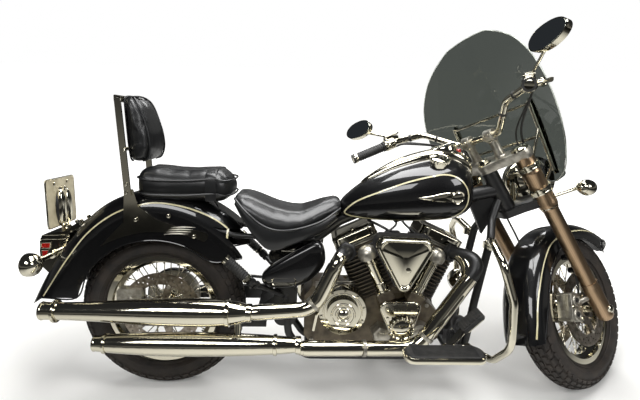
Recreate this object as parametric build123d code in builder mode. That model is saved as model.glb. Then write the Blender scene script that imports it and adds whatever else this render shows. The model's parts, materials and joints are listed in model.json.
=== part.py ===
from build123d import *
import os
from math import atan2, cos, degrees, pi, radians, sin, sqrt

# A big air-cooled V-twin cruiser motorcycle, parked on its side stand with its bars turned left.
# Every piece is drawn upright and straight ahead: X forward, Y to the rider's left, Z up,
# X = 0 under the rear axle and Z = 0 on the road. The last section steers, leans and places them.
os.makedirs("parts", exist_ok=True)

# ---------------------------------------------------------------- parking
lean_angle = 9.0          # to the left, onto the side stand
steer_angle = 38.3        # to the left, onto the steering stop

# ---------------------------------------------------------------- wheels and steering geometry
wheelbase = 1685.0
rake = 32.0               # steering axis back from upright
fork_lead = 48.0          # front axle ahead of the steering axis
rear_tyre_radius = 323.0
rear_tyre_width = 150.0
front_tyre_radius = 320.0
front_tyre_width = 130.0
rim_flange_radius = 219.0
rim_seat_radius = 203.0   # where the bead sits
rim_well_radius = 187.0
rim_wall = 4.0
rear_rim_width = 90.0
front_rim_width = 76.0
spoke_radius = 2.0
spokes_each_set = 10      # four sets a wheel
axle_radius = 10.0
running_fit = 0.05        # radial room of a shaft in its bearing
hub_shoulder = 58.0       # half the hub's width between the discs
disc_thickness = 5.0
front_disc_radius = 149.0
rear_disc_radius = 155.0

# ---------------------------------------------------------------- fork and bars
fork_half_width = 130.0   # leg centre from the middle
slider_radius = 27.0
fork_cover_radius = 34.0
lower_yoke_height = 850.0     # along the steering axis, from the road
upper_yoke_height = 1050.0
yoke_thickness = 30.0
neck_gap = 3.0
stem_radius = 17.5
neck_radius = 31.0
bar_radius = 12.7
grip_radius = 17.0

# ---------------------------------------------------------------- engine
crank_x = 915.0
crank_z = 265.0
vee_half_angle = 24.0
crankcase_half_width = 83.0
deck_height = 165.0       # crank to the foot of a barrel
barrel_height = 155.0
head_height = 75.0
rocker_height = 32.0
fin_pitch = 15.0
fin_thickness = 5.0
fin_length = 168.0        # fore and aft
fin_width = 186.0         # across
bore_radius = 61.0

# ---------------------------------------------------------------- exhaust
header_radius = 24.0
upper_muffler_out = 248.0
upper_muffler_height = 400.0
lower_muffler_out = 262.0
lower_muffler_height = 294.0

# ---------------------------------------------------------------- bodywork
sheet = 3.0
rear_fender_half_width = 112.0
rear_arch_radius = 302.0
front_fender_half_width = 80.0
tank_half_width = 152.0

# ---------------------------------------------------------------- rider and passenger
footboard_length = 268.0
footboard_width = 104.0
footboard_x = 1033.0
footboard_hinge_out = 296.0
footboard_top = 314.0
footboard_thickness = 16.0
peg_hinge = Vector(372, 190, 488)
peg_length = 112.0
peg_radius = 17.0
stand_pivot = Vector(830, 128, 164)
stand_axis = Vector(0, 0.75, 0.66).normalized()
stand_foot_x = 862.0
stand_foot_out = 292.0    # its height follows from the lean
stand_leg_radius = 14.0
stand_eye_radius = 20.0
stand_eye_thickness = 16.0
stand_pin_radius = 8.0

# ---------------------------------------------------------------- derived
rake_sin = sin(radians(rake))
rake_cos = cos(radians(rake))
trail = (front_tyre_radius * rake_sin - fork_lead) / rake_cos
steering_foot = Vector(wheelbase + trail, 0, 0)
fork_plane = Plane(origin=steering_foot, x_dir=(rake_cos, 0, rake_sin), z_dir=(-rake_sin, 0, rake_cos))
front_axle_height = trail * rake_sin + front_tyre_radius * rake_cos      # along the steering axis
rear_hub_centre = Vector(0, 0, rear_tyre_radius)
front_hub_centre = Vector(wheelbase, 0, front_tyre_radius)
rear_cylinder_plane = Plane(
    origin=(crank_x, 0, crank_z),
    x_dir=(cos(radians(vee_half_angle)), 0, sin(radians(vee_half_angle))),
    z_dir=(-sin(radians(vee_half_angle)), 0, cos(radians(vee_half_angle))),
)
front_cylinder_plane = Plane(
    origin=(crank_x, 0, crank_z),
    x_dir=(cos(radians(vee_half_angle)), 0, -sin(radians(vee_half_angle))),
    z_dir=(sin(radians(vee_half_angle)), 0, cos(radians(vee_half_angle))),
)
across = (0, 1, 0)
steered = Location(fork_plane) * Rot(0, 0, steer_angle) * Location(fork_plane).inverse()


def tyre_low(place, centre, radius, width):
    """How far a round-section tyre's lowest point is above the floor."""
    hub = place * Pos(*centre) * Rot(90, 0, 0)
    axle_rise = Plane(hub).z_dir.Z
    return hub.position.Z - (radius - width / 2) * sqrt(1 - axle_rise**2) - width / 2


def park():
    """The place of the leaning machine that sets both tyres down on the floor."""
    pitch = 0.0
    rise = 0.0
    for _ in range(12):
        place = Pos(0, 0, rise) * Rot(0, pitch, 0) * Rot(-lean_angle, 0, 0)
        rear_low = tyre_low(place, rear_hub_centre, rear_tyre_radius, rear_tyre_width)
        front_low = tyre_low(place * steered, front_hub_centre, front_tyre_radius, front_tyre_width)
        rise -= rear_low
        pitch += degrees(atan2(front_low - rear_low, wheelbase))
    return place


parked = park()
floor_up = (parked.inverse() * Pos(0, 0, 1)).position - parked.inverse().position
floor_point = parked.inverse().position


def on_fork(ahead, out, up):
    """A point given in the steering frame: ahead of the axis, to the left, up the axis."""
    return fork_plane.from_local_coords(Vector(ahead, out, up))


def wheel_plane(centre, out=0):
    """A plane square to the axle, its normal to the left."""
    return Plane(origin=centre + Vector(0, out, 0), x_dir=(1, 0, 0), z_dir=across)


def tube(points, radius, bend):
    """Sweep a round bar along straight runs joined by arcs, into the part being built."""
    with BuildLine() as path:
        if len(points) > 2:
            FilletPolyline(*points, radius=bend)
        else:
            Line(*points)
    with BuildSketch(Plane(origin=path.line @ 0, z_dir=path.line % 0)) as section:
        Circle(radius)
    sweep(section.sketch, path=path.line)


def rod(start, end, radius, mode=Mode.ADD):
    """A straight round bar between two points, into the part being built."""
    start = Vector(*start)
    end = Vector(*end)
    with Locations(Plane(origin=start, z_dir=end - start)):
        Cylinder(radius, (end - start).length, align=(Align.CENTER, Align.CENTER, Align.MIN), mode=mode)


# ================================================================ wheels
def make_tyre(centre, radius, width, rim_width):
    """A round-section tyre on its bead seats."""
    ring = radius - width / 2
    bead = rim_width / 2
    with BuildPart() as part:
        with BuildSketch(Plane(origin=centre, x_dir=across, z_dir=(1, 0, 0))):
            with BuildLine():
                CenterArc((0, ring), width / 2, 0, 180)
                Spline((-width / 2, ring), (-bead, rim_flange_radius), tangents=[(0, -1), (1, -1)])
                Polyline(
                    (-bead, rim_flange_radius),
                    (-bead, rim_seat_radius),
                    (bead, rim_seat_radius),
                    (bead, rim_flange_radius),
                )
                Spline((bead, rim_flange_radius), (width / 2, ring), tangents=[(1, 1), (0, 1)])
            make_face()
        revolve(axis=Axis(centre, across))
    return part


def make_rim(centre, rim_width):
    """A rolled steel rim with a drop centre."""
    half = rim_width / 2
    lip = half + rim_wall
    well = 14.0
    with BuildPart() as part:
        with BuildSketch(Plane(origin=centre, x_dir=across, z_dir=(1, 0, 0))):
            with BuildLine() as right_side:
                Polyline(
                    (0, rim_well_radius - rim_wall),
                    (well, rim_well_radius - rim_wall),
                    (well + 8, rim_seat_radius - rim_wall),
                    (lip, rim_seat_radius - rim_wall),
                    (lip, rim_flange_radius),
                    (half, rim_flange_radius),
                    (half, rim_seat_radius),
                    (well + 4, rim_seat_radius),
                    (well - 4, rim_well_radius),
                    (0, rim_well_radius),
                )
                mirror(about=Plane.YZ)
            make_face()
        revolve(axis=Axis(centre, across))
    return part


def spoke_places(centre, side, slant):
    """Where one set of spokes starts at its hub flange, and how long they are."""
    turn = radians(44) * slant
    hub_radius = 36.0
    hub_out = side * (38 + 3 * slant)
    rim_out = side * (8 + 2 * slant)
    rim_radius = rim_well_radius - rim_wall / 2
    first = radians(9 * (1 - side) / 2 + 18 * (1 - slant) / 2)
    planes = []
    for count in range(spokes_each_set):
        rim_turn = first + 2 * pi * count / spokes_each_set
        hub_turn = rim_turn - turn
        start = centre + Vector(hub_radius * cos(hub_turn), hub_out, hub_radius * sin(hub_turn))
        end = centre + Vector(rim_radius * cos(rim_turn), rim_out, rim_radius * sin(rim_turn))
        planes.append(Plane(origin=start, z_dir=end - start))
    return planes, (end - start).length


def make_hub(centre, left_end, right_end):
    """The hub with its bearings' bore, two flanges and the wire spokes laced into them."""
    with BuildPart(wheel_plane(centre)) as part:
        Cylinder(26, 76)
        with Locations((0, 0, 38), (0, 0, -38)):
            Cylinder(44, 12)
        with Locations((0, 0, 44)):
            Cylinder(42, hub_shoulder - 44, align=(Align.CENTER, Align.CENTER, Align.MIN))
            Cylinder(30, left_end - 44, align=(Align.CENTER, Align.CENTER, Align.MIN))
        with Locations((0, 0, -44)):
            Cylinder(42, hub_shoulder - 44, align=(Align.CENTER, Align.CENTER, Align.MAX))
            Cylinder(30, right_end - 44, align=(Align.CENTER, Align.CENTER, Align.MAX))
    with BuildPart() as laced:
        add(part.part)
        for side in (1, -1):
            for slant in (1, -1):
                planes, length = spoke_places(centre, side, slant)
                with Locations(*planes):
                    Cylinder(spoke_radius, length, align=(Align.CENTER, Align.CENTER, Align.MIN))
        bore_half = Vector(0, 200, 0)
        rod(centre - bore_half, centre + bore_half, axle_radius + running_fit, Mode.SUBTRACT)
    return laced


def disc_profile(radius):
    """A drilled brake disc on a five-armed carrier, as a sketch on the current plane."""
    carrier = 62.0
    Circle(radius)
    Circle(radius - 46, mode=Mode.SUBTRACT)
    Circle(carrier)
    with PolarLocations(carrier + (radius - 46 - carrier) / 2, 5):
        Rectangle(radius - 46 - carrier + 12, 26)
    Circle(30 + running_fit, mode=Mode.SUBTRACT)
    for row, offset in ((radius - 12, 0), (radius - 23, 6), (radius - 34, 12)):
        with PolarLocations(row, 20, start_angle=offset):
            Circle(3.5, mode=Mode.SUBTRACT)


front_tyre = make_tyre(front_hub_centre, front_tyre_radius, front_tyre_width, front_rim_width)
front_rim = make_rim(front_hub_centre, front_rim_width)
front_hub_end = 68.0
front_hub = make_hub(front_hub_centre, front_hub_end, front_hub_end)

with BuildPart() as front_discs:
    with BuildSketch(wheel_plane(front_hub_centre, hub_shoulder)):
        disc_profile(front_disc_radius)
    extrude(amount=disc_thickness)
    mirror(about=Plane.XZ)

belt_out = 112.0          # inner edge of the belt from the middle
belt_width = 24.0
belt_thickness = 5.0
belt_gap = 0.4
rear_pulley_radius = 108.0
front_pulley_radius = 46.0
front_pulley_x = 588.0
front_pulley_z = 335.0
rear_hub_left_end = belt_out + 8
rear_hub_right_end = 72.0

rear_tyre = make_tyre(rear_hub_centre, rear_tyre_radius, rear_tyre_width, rear_rim_width)
rear_rim = make_rim(rear_hub_centre, rear_rim_width)
rear_hub = make_hub(rear_hub_centre, rear_hub_left_end, rear_hub_right_end)

with BuildPart() as rear_disc:
    with BuildSketch(wheel_plane(rear_hub_centre, -hub_shoulder - disc_thickness)):
        disc_profile(rear_disc_radius)
    extrude(amount=disc_thickness)

with BuildPart() as rear_pulley:
    with BuildSketch(wheel_plane(rear_hub_centre, belt_out - 3)):
        Circle(rear_pulley_radius)
        Circle(rear_pulley_radius - 14, mode=Mode.SUBTRACT)
    extrude(amount=belt_width + 4)
    with BuildSketch(wheel_plane(rear_hub_centre, belt_out - 3)):
        Circle(rear_pulley_radius - 6)
        Circle(30 + running_fit, mode=Mode.SUBTRACT)
        with PolarLocations(66, 5):
            Circle(17, mode=Mode.SUBTRACT)
    extrude(amount=9)

# ================================================================ frame
backbone_radius = 27.0
rail_radius = 15.0
pivot_x = 486.0
pivot_z = 388.0
pivot_plate_out = 88.0
pivot_plate_thickness = 16.0
pivot_shaft_radius = 10.0
cradle_out = 88.0
cradle_height = 158.0
neck_bottom = lower_yoke_height + yoke_thickness + neck_gap
neck_top = upper_yoke_height - neck_gap
neck_middle = on_fork(0, 0, (neck_bottom + neck_top) / 2)
backbone = [
    neck_middle,
    Vector(1190, 0, neck_middle.Z - 28),
    Vector(790, 0, 735),
    Vector(690, 0, 690),
    Vector(560, 0, 585),
]

with BuildPart() as frame:
    tube(backbone, backbone_radius, 90)
    rod(on_fork(0, 0, neck_bottom), on_fork(0, 0, neck_top), neck_radius)
    # the two downtubes run under the engine and up to the swingarm pivot
    for side in (1, -1):
        tube(
            [
                on_fork(0, 0, neck_bottom + 60),
                on_fork(-88, side * 40, neck_bottom),
                Vector(1268, side * cradle_out, 640),
                Vector(1226, side * cradle_out, 400),
                Vector(1190, side * cradle_out, cradle_height),
                Vector(560, side * cradle_out, cradle_height),
                Vector(500, side * cradle_out, 250),
                Vector(pivot_x, side * cradle_out, pivot_z),
                Vector(590, side * 22, 604),
            ],
            rail_radius,
            [40, 40, 150, 90, 60, 60, 60],
        )
        # seat rail, hidden inside the rear fender beside the tyre
        tube(
            [
                Vector(600, side * 16, 612),
                Vector(430, side * 92, 634),
                Vector(300, side * 92, 640),
                Vector(40, side * 92, 712),
                Vector(-150, side * 92, 680),
            ],
            10,
            [60, 60, 80],
        )
    # plates that hold the swingarm's pivot
    for side in (1, -1):
        with BuildSketch(Plane.XZ.offset(-side * pivot_plate_out)):
            with Locations((pivot_x, pivot_z - 20)):
                RectangleRounded(84, 170, 30)
        extrude(amount=side * pivot_plate_thickness / 2, both=True)
    # cross members under the gearbox and across the cradle's front
    rod((575, -cradle_out, cradle_height), (575, cradle_out, cradle_height), 14)
    rod((1150, -cradle_out, cradle_height), (1150, cradle_out, cradle_height), 14)
    # gusset behind the neck
    with BuildSketch(Plane.XZ):
        with BuildLine():
            Polyline((1205, 760), (1290, 800), (1318, 742), (1262, 640), close=True)
        make_face()
    extrude(amount=10, both=True)
    # lug and pin for the side stand
    lug_face = stand_pivot - stand_axis * (stand_eye_thickness / 2 + 1)
    pin_face = stand_pivot + stand_axis * (stand_eye_thickness / 2 + 1)
    rod(lug_face - stand_axis * 20, lug_face, stand_eye_radius + 3)
    rod(lug_face, pin_face, stand_pin_radius)
    rod(pin_face, pin_face + stand_axis * 7, stand_pin_radius + 3)
    # the swingarm's pivot shaft
    shaft_half = pivot_plate_out + pivot_plate_thickness / 2 + 6
    rod((pivot_x, -shaft_half, pivot_z), (pivot_x, shaft_half, pivot_z), pivot_shaft_radius)
    # the neck's bore
    bore_foot = on_fork(0, 0, neck_bottom - 5)
    rod(bore_foot, on_fork(0, 0, neck_top + 5), stem_radius + running_fit, Mode.SUBTRACT)

# ================================================================ swingarm and rear axle
arm_left_out = 158.0      # outside the belt
arm_right_out = 128.0
arm_thickness = 24.0
cross_x = 398.0
cross_z = 328.0
pivot_gap = 10.0

with BuildPart() as swingarm:
    pivot_half = cradle_out - rail_radius - pivot_gap
    rod((pivot_x, -pivot_half, pivot_z), (pivot_x, pivot_half, pivot_z), 24)
    rod((cross_x, -arm_right_out - 8, cross_z), (cross_x, arm_left_out + 8, cross_z), 24)
    with BuildSketch(Plane.XZ):
        with BuildLine():
            Polyline(
                (pivot_x + 8, pivot_z - 20),
                (pivot_x - 6, pivot_z + 22),
                (cross_x - 8, cross_z + 22),
                (cross_x + 8, cross_z - 22),
                close=True,
            )
        make_face()
    extrude(amount=50, both=True)
    for middle in (arm_left_out, -arm_right_out):
        with BuildSketch(Plane.XZ.offset(-middle)):
            with BuildLine():
                Polyline(
                    (cross_x + 20, cross_z - 30),
                    (cross_x + 20, cross_z + 30),
                    (60, rear_tyre_radius + 22),
                    (-48, rear_tyre_radius + 26),
                    (-48, rear_tyre_radius - 26),
                    (60, rear_tyre_radius - 26),
                    close=True,
                )
            make_face()
        extrude(amount=arm_thickness / 2, both=True)
    rod((0, -200, rear_tyre_radius), (0, 200, rear_tyre_radius), axle_radius, Mode.SUBTRACT)
    rod((pivot_x, -100, pivot_z), (pivot_x, 100, pivot_z), pivot_shaft_radius + running_fit, Mode.SUBTRACT)

with BuildPart() as rear_axle:
    axle_left = arm_left_out + arm_thickness / 2
    axle_right = arm_right_out + arm_thickness / 2
    rod((0, -axle_right - 14, rear_tyre_radius), (0, axle_left + 14, rear_tyre_radius), axle_radius)
    for outer, inner in ((axle_left + 10, axle_left), (-axle_right - 10, -axle_right)):
        with BuildSketch(wheel_plane(rear_hub_centre, min(outer, inner))):
            RegularPolygon(17, 6)
        extrude(amount=10)
    # spacers between the hub and the arms
    for hub_end, arm_face in (
        (rear_hub_left_end + 1, arm_left_out - arm_thickness / 2),
        (-rear_hub_right_end - 1, -arm_right_out + arm_thickness / 2),
    ):
        rod((0, hub_end, rear_tyre_radius), (0, arm_face, rear_tyre_radius), 16)

with BuildPart() as drive_belt:
    rear_centre = Vector(0, rear_tyre_radius)
    front_centre = Vector(front_pulley_x, front_pulley_z)
    with BuildSketch(Plane.XZ.offset(-belt_out)):
        for grow, mode in ((belt_gap + belt_thickness, Mode.ADD), (belt_gap, Mode.SUBTRACT)):
            with BuildLine() as loop:
                rear_round = CenterArc(rear_centre, rear_pulley_radius + grow, 0, 360, mode=Mode.PRIVATE)
                front_round = CenterArc(front_centre, front_pulley_radius + grow, 0, 360, mode=Mode.PRIVATE)
                shift = front_centre - rear_centre
                spread = degrees(atan2(rear_pulley_radius - front_pulley_radius, shift.length))
                tilt = degrees(atan2(shift.Y, shift.X))
                top_turn = tilt + 90 - spread
                low_turn = tilt - 90 + spread
                CenterArc(rear_centre, rear_pulley_radius + grow, top_turn, 360 - (top_turn - low_turn))
                CenterArc(front_centre, front_pulley_radius + grow, low_turn, top_turn - low_turn)
                Line(rear_round @ ((top_turn % 360) / 360), front_round @ ((top_turn % 360) / 360))
                Line(rear_round @ ((low_turn % 360) / 360), front_round @ ((low_turn % 360) / 360))
            make_face(mode=mode)
    extrude(amount=-belt_width)

# ================================================================ engine
with BuildPart() as crankcase:
    with BuildSketch(Plane.XZ):
        with BuildLine():
            Polyline(
                (600, 190),
                (1010, 182),
                (1090, 230),
                (1100, 320),
                (1052, 372),
                (crank_x, 440),
                (778, 372),
                (700, 440),
                (590, 440),
                (560, 400),
                (560, 240),
                close=True,
            )
        make_face()
    extrude(amount=crankcase_half_width, both=True)
    fillet(crankcase.edges().filter_by(Axis.Y), 14)
    # decks that carry the barrels
    for plane in (rear_cylinder_plane, front_cylinder_plane):
        with BuildSketch(plane.offset(60)):
            RectangleRounded(140, 2 * crankcase_half_width, 20)
        extrude(amount=deck_height - 60)
    # front pulley of the belt, on the gearbox's left
    pulley_end = belt_out + belt_width + 2
    pulley_start = Vector(front_pulley_x, 80, front_pulley_z)
    rod(pulley_start, (front_pulley_x, pulley_end, front_pulley_z), front_pulley_radius)

cover_out = 186.0

with BuildPart() as engine_covers:
    # cam cover with its round cap
    with BuildSketch(Plane.XZ.offset(crankcase_half_width)):
        with Locations((868, 388), (968, 388)):
            Circle(28)
        with Locations((924, 315)):
            Circle(50)
        make_hull()
    extrude(amount=cover_out - 12 - crankcase_half_width)
    fillet(engine_covers.faces().sort_by(Axis.Y)[0].edges(), 10)
    with BuildSketch(Plane.XZ.offset(crankcase_half_width)):
        with Locations((924, 315)):
            Circle(43)
    extrude(amount=cover_out - crankcase_half_width)
    # clutch cover
    with BuildSketch(Plane.XZ.offset(crankcase_half_width)):
        with Locations((705, 368)):
            Circle(88)
    extrude(amount=cover_out - 24 - crankcase_half_width)
    fillet(engine_covers.faces().filter_by(Axis.Y).sort_by(Axis.X)[0].edges(), 8)
    with BuildSketch(Plane.XZ.offset(crankcase_half_width)):
        with Locations((705, 368)):
            Circle(60)
    extrude(amount=cover_out - crankcase_half_width)

    # primary cover on the left
    with BuildSketch(Plane.XZ.offset(-crankcase_half_width)):
        with Locations((915, 292)):
            Circle(100)
        with Locations((770, 320)):
            Circle(84)
        make_hull()
    extrude(amount=-(170 - crankcase_half_width))
    # shield over the belt's front pulley
    with BuildSketch(Plane.XZ.offset(-belt_out - belt_width - 8)):
        with Locations((front_pulley_x, front_pulley_z)):
            Circle(front_pulley_radius + 16)
        with Locations((770, 320)):
            Circle(84)
        make_hull()
    extrude(amount=-(170 - belt_out - belt_width - 8))
    fillet(engine_covers.faces().sort_by(Axis.Y)[-1].edges(), 8)

barrel_core = bore_radius + 5
head_foot = deck_height + barrel_height
head_top = head_foot + head_height
vee_gap = 3.0


def make_cylinder(plane, side):
    """A finned barrel and head, cut short where the two would cross between the cylinders."""
    with BuildPart() as part:
        with BuildSketch(plane.offset(deck_height)):
            Circle(barrel_core)
        extrude(amount=barrel_height)
        with BuildSketch(plane.offset(head_foot)):
            RectangleRounded(fin_length - 16, fin_width - 16, 30)
        extrude(amount=head_height)
        for fin in range(int((barrel_height + head_height - 10) / fin_pitch)):
            with BuildSketch(plane.offset(deck_height + 8 + fin * fin_pitch)):
                RectangleRounded(fin_length, fin_width, 34)
            extrude(amount=fin_thickness)
        with BuildSketch(Plane.XZ):
            with Locations((crank_x - side * (150 - vee_gap), crank_z + 250)):
                Rectangle(300, 500)
        extrude(amount=fin_width, both=True, mode=Mode.SUBTRACT)
    return part


rear_cylinder = make_cylinder(rear_cylinder_plane, -1)
front_cylinder = make_cylinder(front_cylinder_plane, 1)
with BuildPart() as cylinders:
    add(rear_cylinder.part)
    add(front_cylinder.part)
    add(engine_covers.part, mode=Mode.SUBTRACT)

with BuildPart() as rocker_covers:
    for plane in (rear_cylinder_plane, front_cylinder_plane):
        with BuildSketch(plane.offset(head_top)):
            RectangleRounded(fin_length + 4, fin_width, 30)
        extrude(amount=rocker_height)
    fillet(rocker_covers.faces().group_by(SortBy.AREA)[-1].edges().group_by(Axis.Z)[-1], 4)

pushrod_out = 128.0
pushrod_radius = 21.0
with BuildPart() as pushrod_covers:
    for plane, along in ((rear_cylinder_plane, 20), (front_cylinder_plane, -6)):
        with BuildSketch(plane.offset(158)):
            with Locations((along, -pushrod_out)):
                RectangleRounded(62, 62, 12)
        extrude(amount=28)
        with BuildSketch(plane.offset(186)):
            with Locations((along, -pushrod_out)):
                Circle(pushrod_radius)
        extrude(amount=146)
        with BuildSketch(plane.offset(332)):
            with Locations((along, -pushrod_out)):
                Circle(31)
        extrude(amount=head_top - 332 + 6)
    add(engine_covers.part, mode=Mode.SUBTRACT)
    add(cylinders.part, mode=Mode.SUBTRACT)
    add(rocker_covers.part, mode=Mode.SUBTRACT)

air_cleaner_out = 234.0
with BuildPart() as air_cleaner:
    with BuildSketch(Plane.XZ.offset(158)):
        with Locations((846, 646), (984, 642)):
            Circle(34)
        with Locations((916, 506)):
            Circle(28)
        make_hull()
    extrude(amount=air_cleaner_out - 158)
    fillet(air_cleaner.faces().sort_by(Axis.Y)[0].edges(), 22)

with BuildPart() as carburettor:
    with BuildSketch(Plane.XZ.offset(157)):
        with Locations((914, 606)):
            RectangleRounded(66, 62, 12)
    extrude(amount=-200)

# ================================================================ exhaust
rear_header = [
    Vector(722, -97, 585),
    Vector(690, -208, 606),
    Vector(597, -218, 404),
    Vector(372, -upper_muffler_out, upper_muffler_height),
]
front_header = [
    Vector(1100, -97, 590),
    Vector(1196, -214, 592),
    Vector(976, -218, 256),
    Vector(546, -lower_muffler_out, lower_muffler_height - 18),
]
with BuildPart() as exhaust_pipes:
    tube(rear_header, header_radius, [50, 105])
    tube(front_header, header_radius, [84, 120])
    add(cylinders.part, mode=Mode.SUBTRACT)
    add(rocker_covers.part, mode=Mode.SUBTRACT)
    add(pushrod_covers.part, mode=Mode.SUBTRACT)


def make_muffler(out, height, stations):
    """A round tapered silencer; each station is its place along X and its radius."""
    with BuildSketch(Plane(origin=(0, -out, 0), x_dir=(1, 0, 0), z_dir=(0, -1, 0))) as profile:
        with BuildLine():
            Spline(*[(x, height + radius) for x, radius in stations])
            Polyline(
                (stations[-1][0], height + stations[-1][1]),
                (stations[-1][0], height),
                (stations[0][0], height),
                (stations[0][0], height + stations[0][1]),
            )
        make_face()
    revolve(profile.sketch, axis=Axis((0, -out, height), (1, 0, 0)))


with BuildPart() as mufflers:
    make_muffler(
        upper_muffler_out,
        upper_muffler_height,
        [(371, 27), (300, 44), (220, 49), (30, 46), (-345, 31)],
    )
    make_muffler(
        lower_muffler_out,
        lower_muffler_height - 6,
        [(545, 25), (470, 32), (380, 37), (33, 40), (-165, 27)],
    )
    # the bracket between them
    rod((330, -250, upper_muffler_height - 20), (330, -260, lower_muffler_height + 20), 12)
    add(exhaust_pipes.part, mode=Mode.SUBTRACT)

# ================================================================ tank
tank_sections = [
    # x, half width, bottom, top, top corner
    (690, 30, 718, 754, 14),
    (760, 84, 704, 824, 60),
    (860, 124, 698, 882, 90),
    (960, 146, 696, 925, 105),
    (1060, tank_half_width, 699, 950, 112),
    (1130, 142, 714, 944, 100),
    (1178, 110, 742, 912, 74),
    (1198, 66, 782, 876, 40),
]
tunnel_half_width = backbone_radius + 9


def tank_section(x, half_width, bottom, top, corner):
    """One rounded cross section, flatter below than above."""
    with BuildSketch(Plane(origin=(x, 0, 0), x_dir=across, z_dir=(1, 0, 0))) as section:
        with Locations((0, (bottom + top) / 2)):
            Rectangle(2 * half_width, top - bottom)
        upper = section.vertices().group_by(Axis.Y)[-1]
        fillet(upper, min(corner, half_width - 4, (top - bottom) * 0.7))
        lower = section.vertices().group_by(Axis.Y)[0]
        fillet(lower, min(corner * 0.4, (top - bottom) * 0.25))
    return section


with BuildPart() as fuel_tank:
    for station in tank_sections:
        add(tank_section(*station).sketch)
    loft()
    # tunnel for the backbone
    with BuildSketch(Plane.XZ):
        with BuildLine():
            Polyline(
                (680, 600),
                (1250, 600),
                (1250, neck_middle.Z + 4),
                (1190, neck_middle.Z - 28 + backbone_radius + 10),
                (790, 735 + backbone_radius + 10),
                (690, 690 + backbone_radius + 12),
                close=True,
            )
        make_face()
    extrude(amount=tunnel_half_width, both=True, mode=Mode.SUBTRACT)

console_sections = [
    # x, half width, bottom, top
    (792, 16, 800, 858),
    (880, 30, 850, 914),
    (980, 42, 890, 954),
    (1080, 50, 910, 974),
    (1150, 50, 900, 966),
    (1204, 34, 850, 905),
]
with BuildPart() as tank_console:
    for x, half_width, bottom, top in console_sections:
        with BuildSketch(Plane(origin=(x, 0, 0), x_dir=across, z_dir=(1, 0, 0))):
            with Locations((0, (bottom + top) / 2)):
                RectangleRounded(2 * half_width, top - bottom, half_width * 0.6)
    loft()
    add(fuel_tank.part, mode=Mode.SUBTRACT)
    with BuildSketch(Plane.XZ):
        with Locations((1000, 720)):
            Rectangle(500, 300)
    extrude(amount=tunnel_half_width + 2, both=True, mode=Mode.SUBTRACT)

dial_plane = Plane(origin=(1088, 0, 958), x_dir=(0.94, 0, 0.34), z_dir=(-0.34, 0, 0.94))
with BuildPart() as speedometer:
    with BuildSketch(dial_plane):
        Circle(50)
    extrude(amount=30)
    fillet(speedometer.faces().sort_by(Axis.Z)[-1].edges(), 5)
    add(tank_console.part, mode=Mode.SUBTRACT)
    add(fuel_tank.part, mode=Mode.SUBTRACT)

cap_plane = Plane(origin=(1053, -88, 936), x_dir=(1, 0, 0), z_dir=(0, -0.39, 0.92))
with BuildPart() as filler_cap:
    with BuildSketch(cap_plane.offset(-14)):
        Circle(30)
    extrude(amount=24)
    with BuildSketch(cap_plane.offset(6)):
        Circle(36)
    extrude(amount=12)
    fillet(filler_cap.faces().sort_by(Axis.Z)[-1].edges(), 4)
    add(fuel_tank.part, mode=Mode.SUBTRACT)
    add(tank_console.part, mode=Mode.SUBTRACT)

# ================================================================ fenders
rear_crown = [(-500, 342), (-446, 446), (-316, 634), (-160, 764), (10, 798), (170, 762), (318, 660)]
rear_edge = [(326, 556), (212, 541)]
rear_tail = [(-296, 392), (-430, 392)]
front_crown = [
    (wheelbase + 349, 550),
    (wheelbase + 205, 634),
    (wheelbase + 15, 672),
    (wheelbase - 185, 632),
    (wheelbase - 323, 490),
    (wheelbase - 383, 300),
    (wheelbase - 387, 226),
]
front_edge = [(wheelbase - 343, 232), (wheelbase - 297, 330)]
front_tip = [(wheelbase + 273, 470)]


def arch_points(centre, radius, first, last, count):
    """Points round a wheel, for the opening under its mudguard."""
    turns = [radians(first + (last - first) * step / count) for step in range(count + 1)]
    return [(centre.X + radius * cos(turn), centre.Z + radius * sin(turn)) for turn in turns]


def nearer(points, centre, amount):
    """The same curve moved towards a wheel's centre."""
    moved = []
    for x, z in points:
        inward = Vector(centre.X - x, centre.Z - z).normalized() * amount
        moved.append((x + inward.X, z + inward.Y))
    return moved


def fender_form(crown, after, arch, before, half_width, round_radius):
    """The outer form of a mudguard, solid."""
    with BuildPart() as outside:
        with BuildSketch(Plane.XZ):
            with BuildLine():
                Spline(*crown)
                Polyline(crown[-1], *after)
                ThreePointArc(after[-1], arch, before[0])
                Polyline(*before, crown[0])
            make_face()
        extrude(amount=half_width, both=True)
        crown_edges = outside.edges().filter_by(GeomType.BSPLINE).sort_by(SortBy.LENGTH)[-2:]
        fillet(crown_edges, round_radius)
    return outside


def make_fender(centre, crown, form, half_width, round_radius, opening):
    """A pressed steel mudguard: a rounded crown with side walls, open towards the wheel."""
    with BuildPart() as inside:
        under = nearer(crown, centre, sheet)
        with BuildSketch(Plane.XZ):
            with BuildLine():
                Spline(*under)
                Polyline(under[-1], *opening, under[0])
            make_face()
        extrude(amount=half_width - sheet, both=True)
        crown_edges = inside.edges().filter_by(GeomType.BSPLINE).sort_by(SortBy.LENGTH)[-2:]
        fillet(crown_edges, round_radius - sheet)
    with BuildPart() as fender:
        add(form.part)
        add(inside.part, mode=Mode.SUBTRACT)
    return fender


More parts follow.
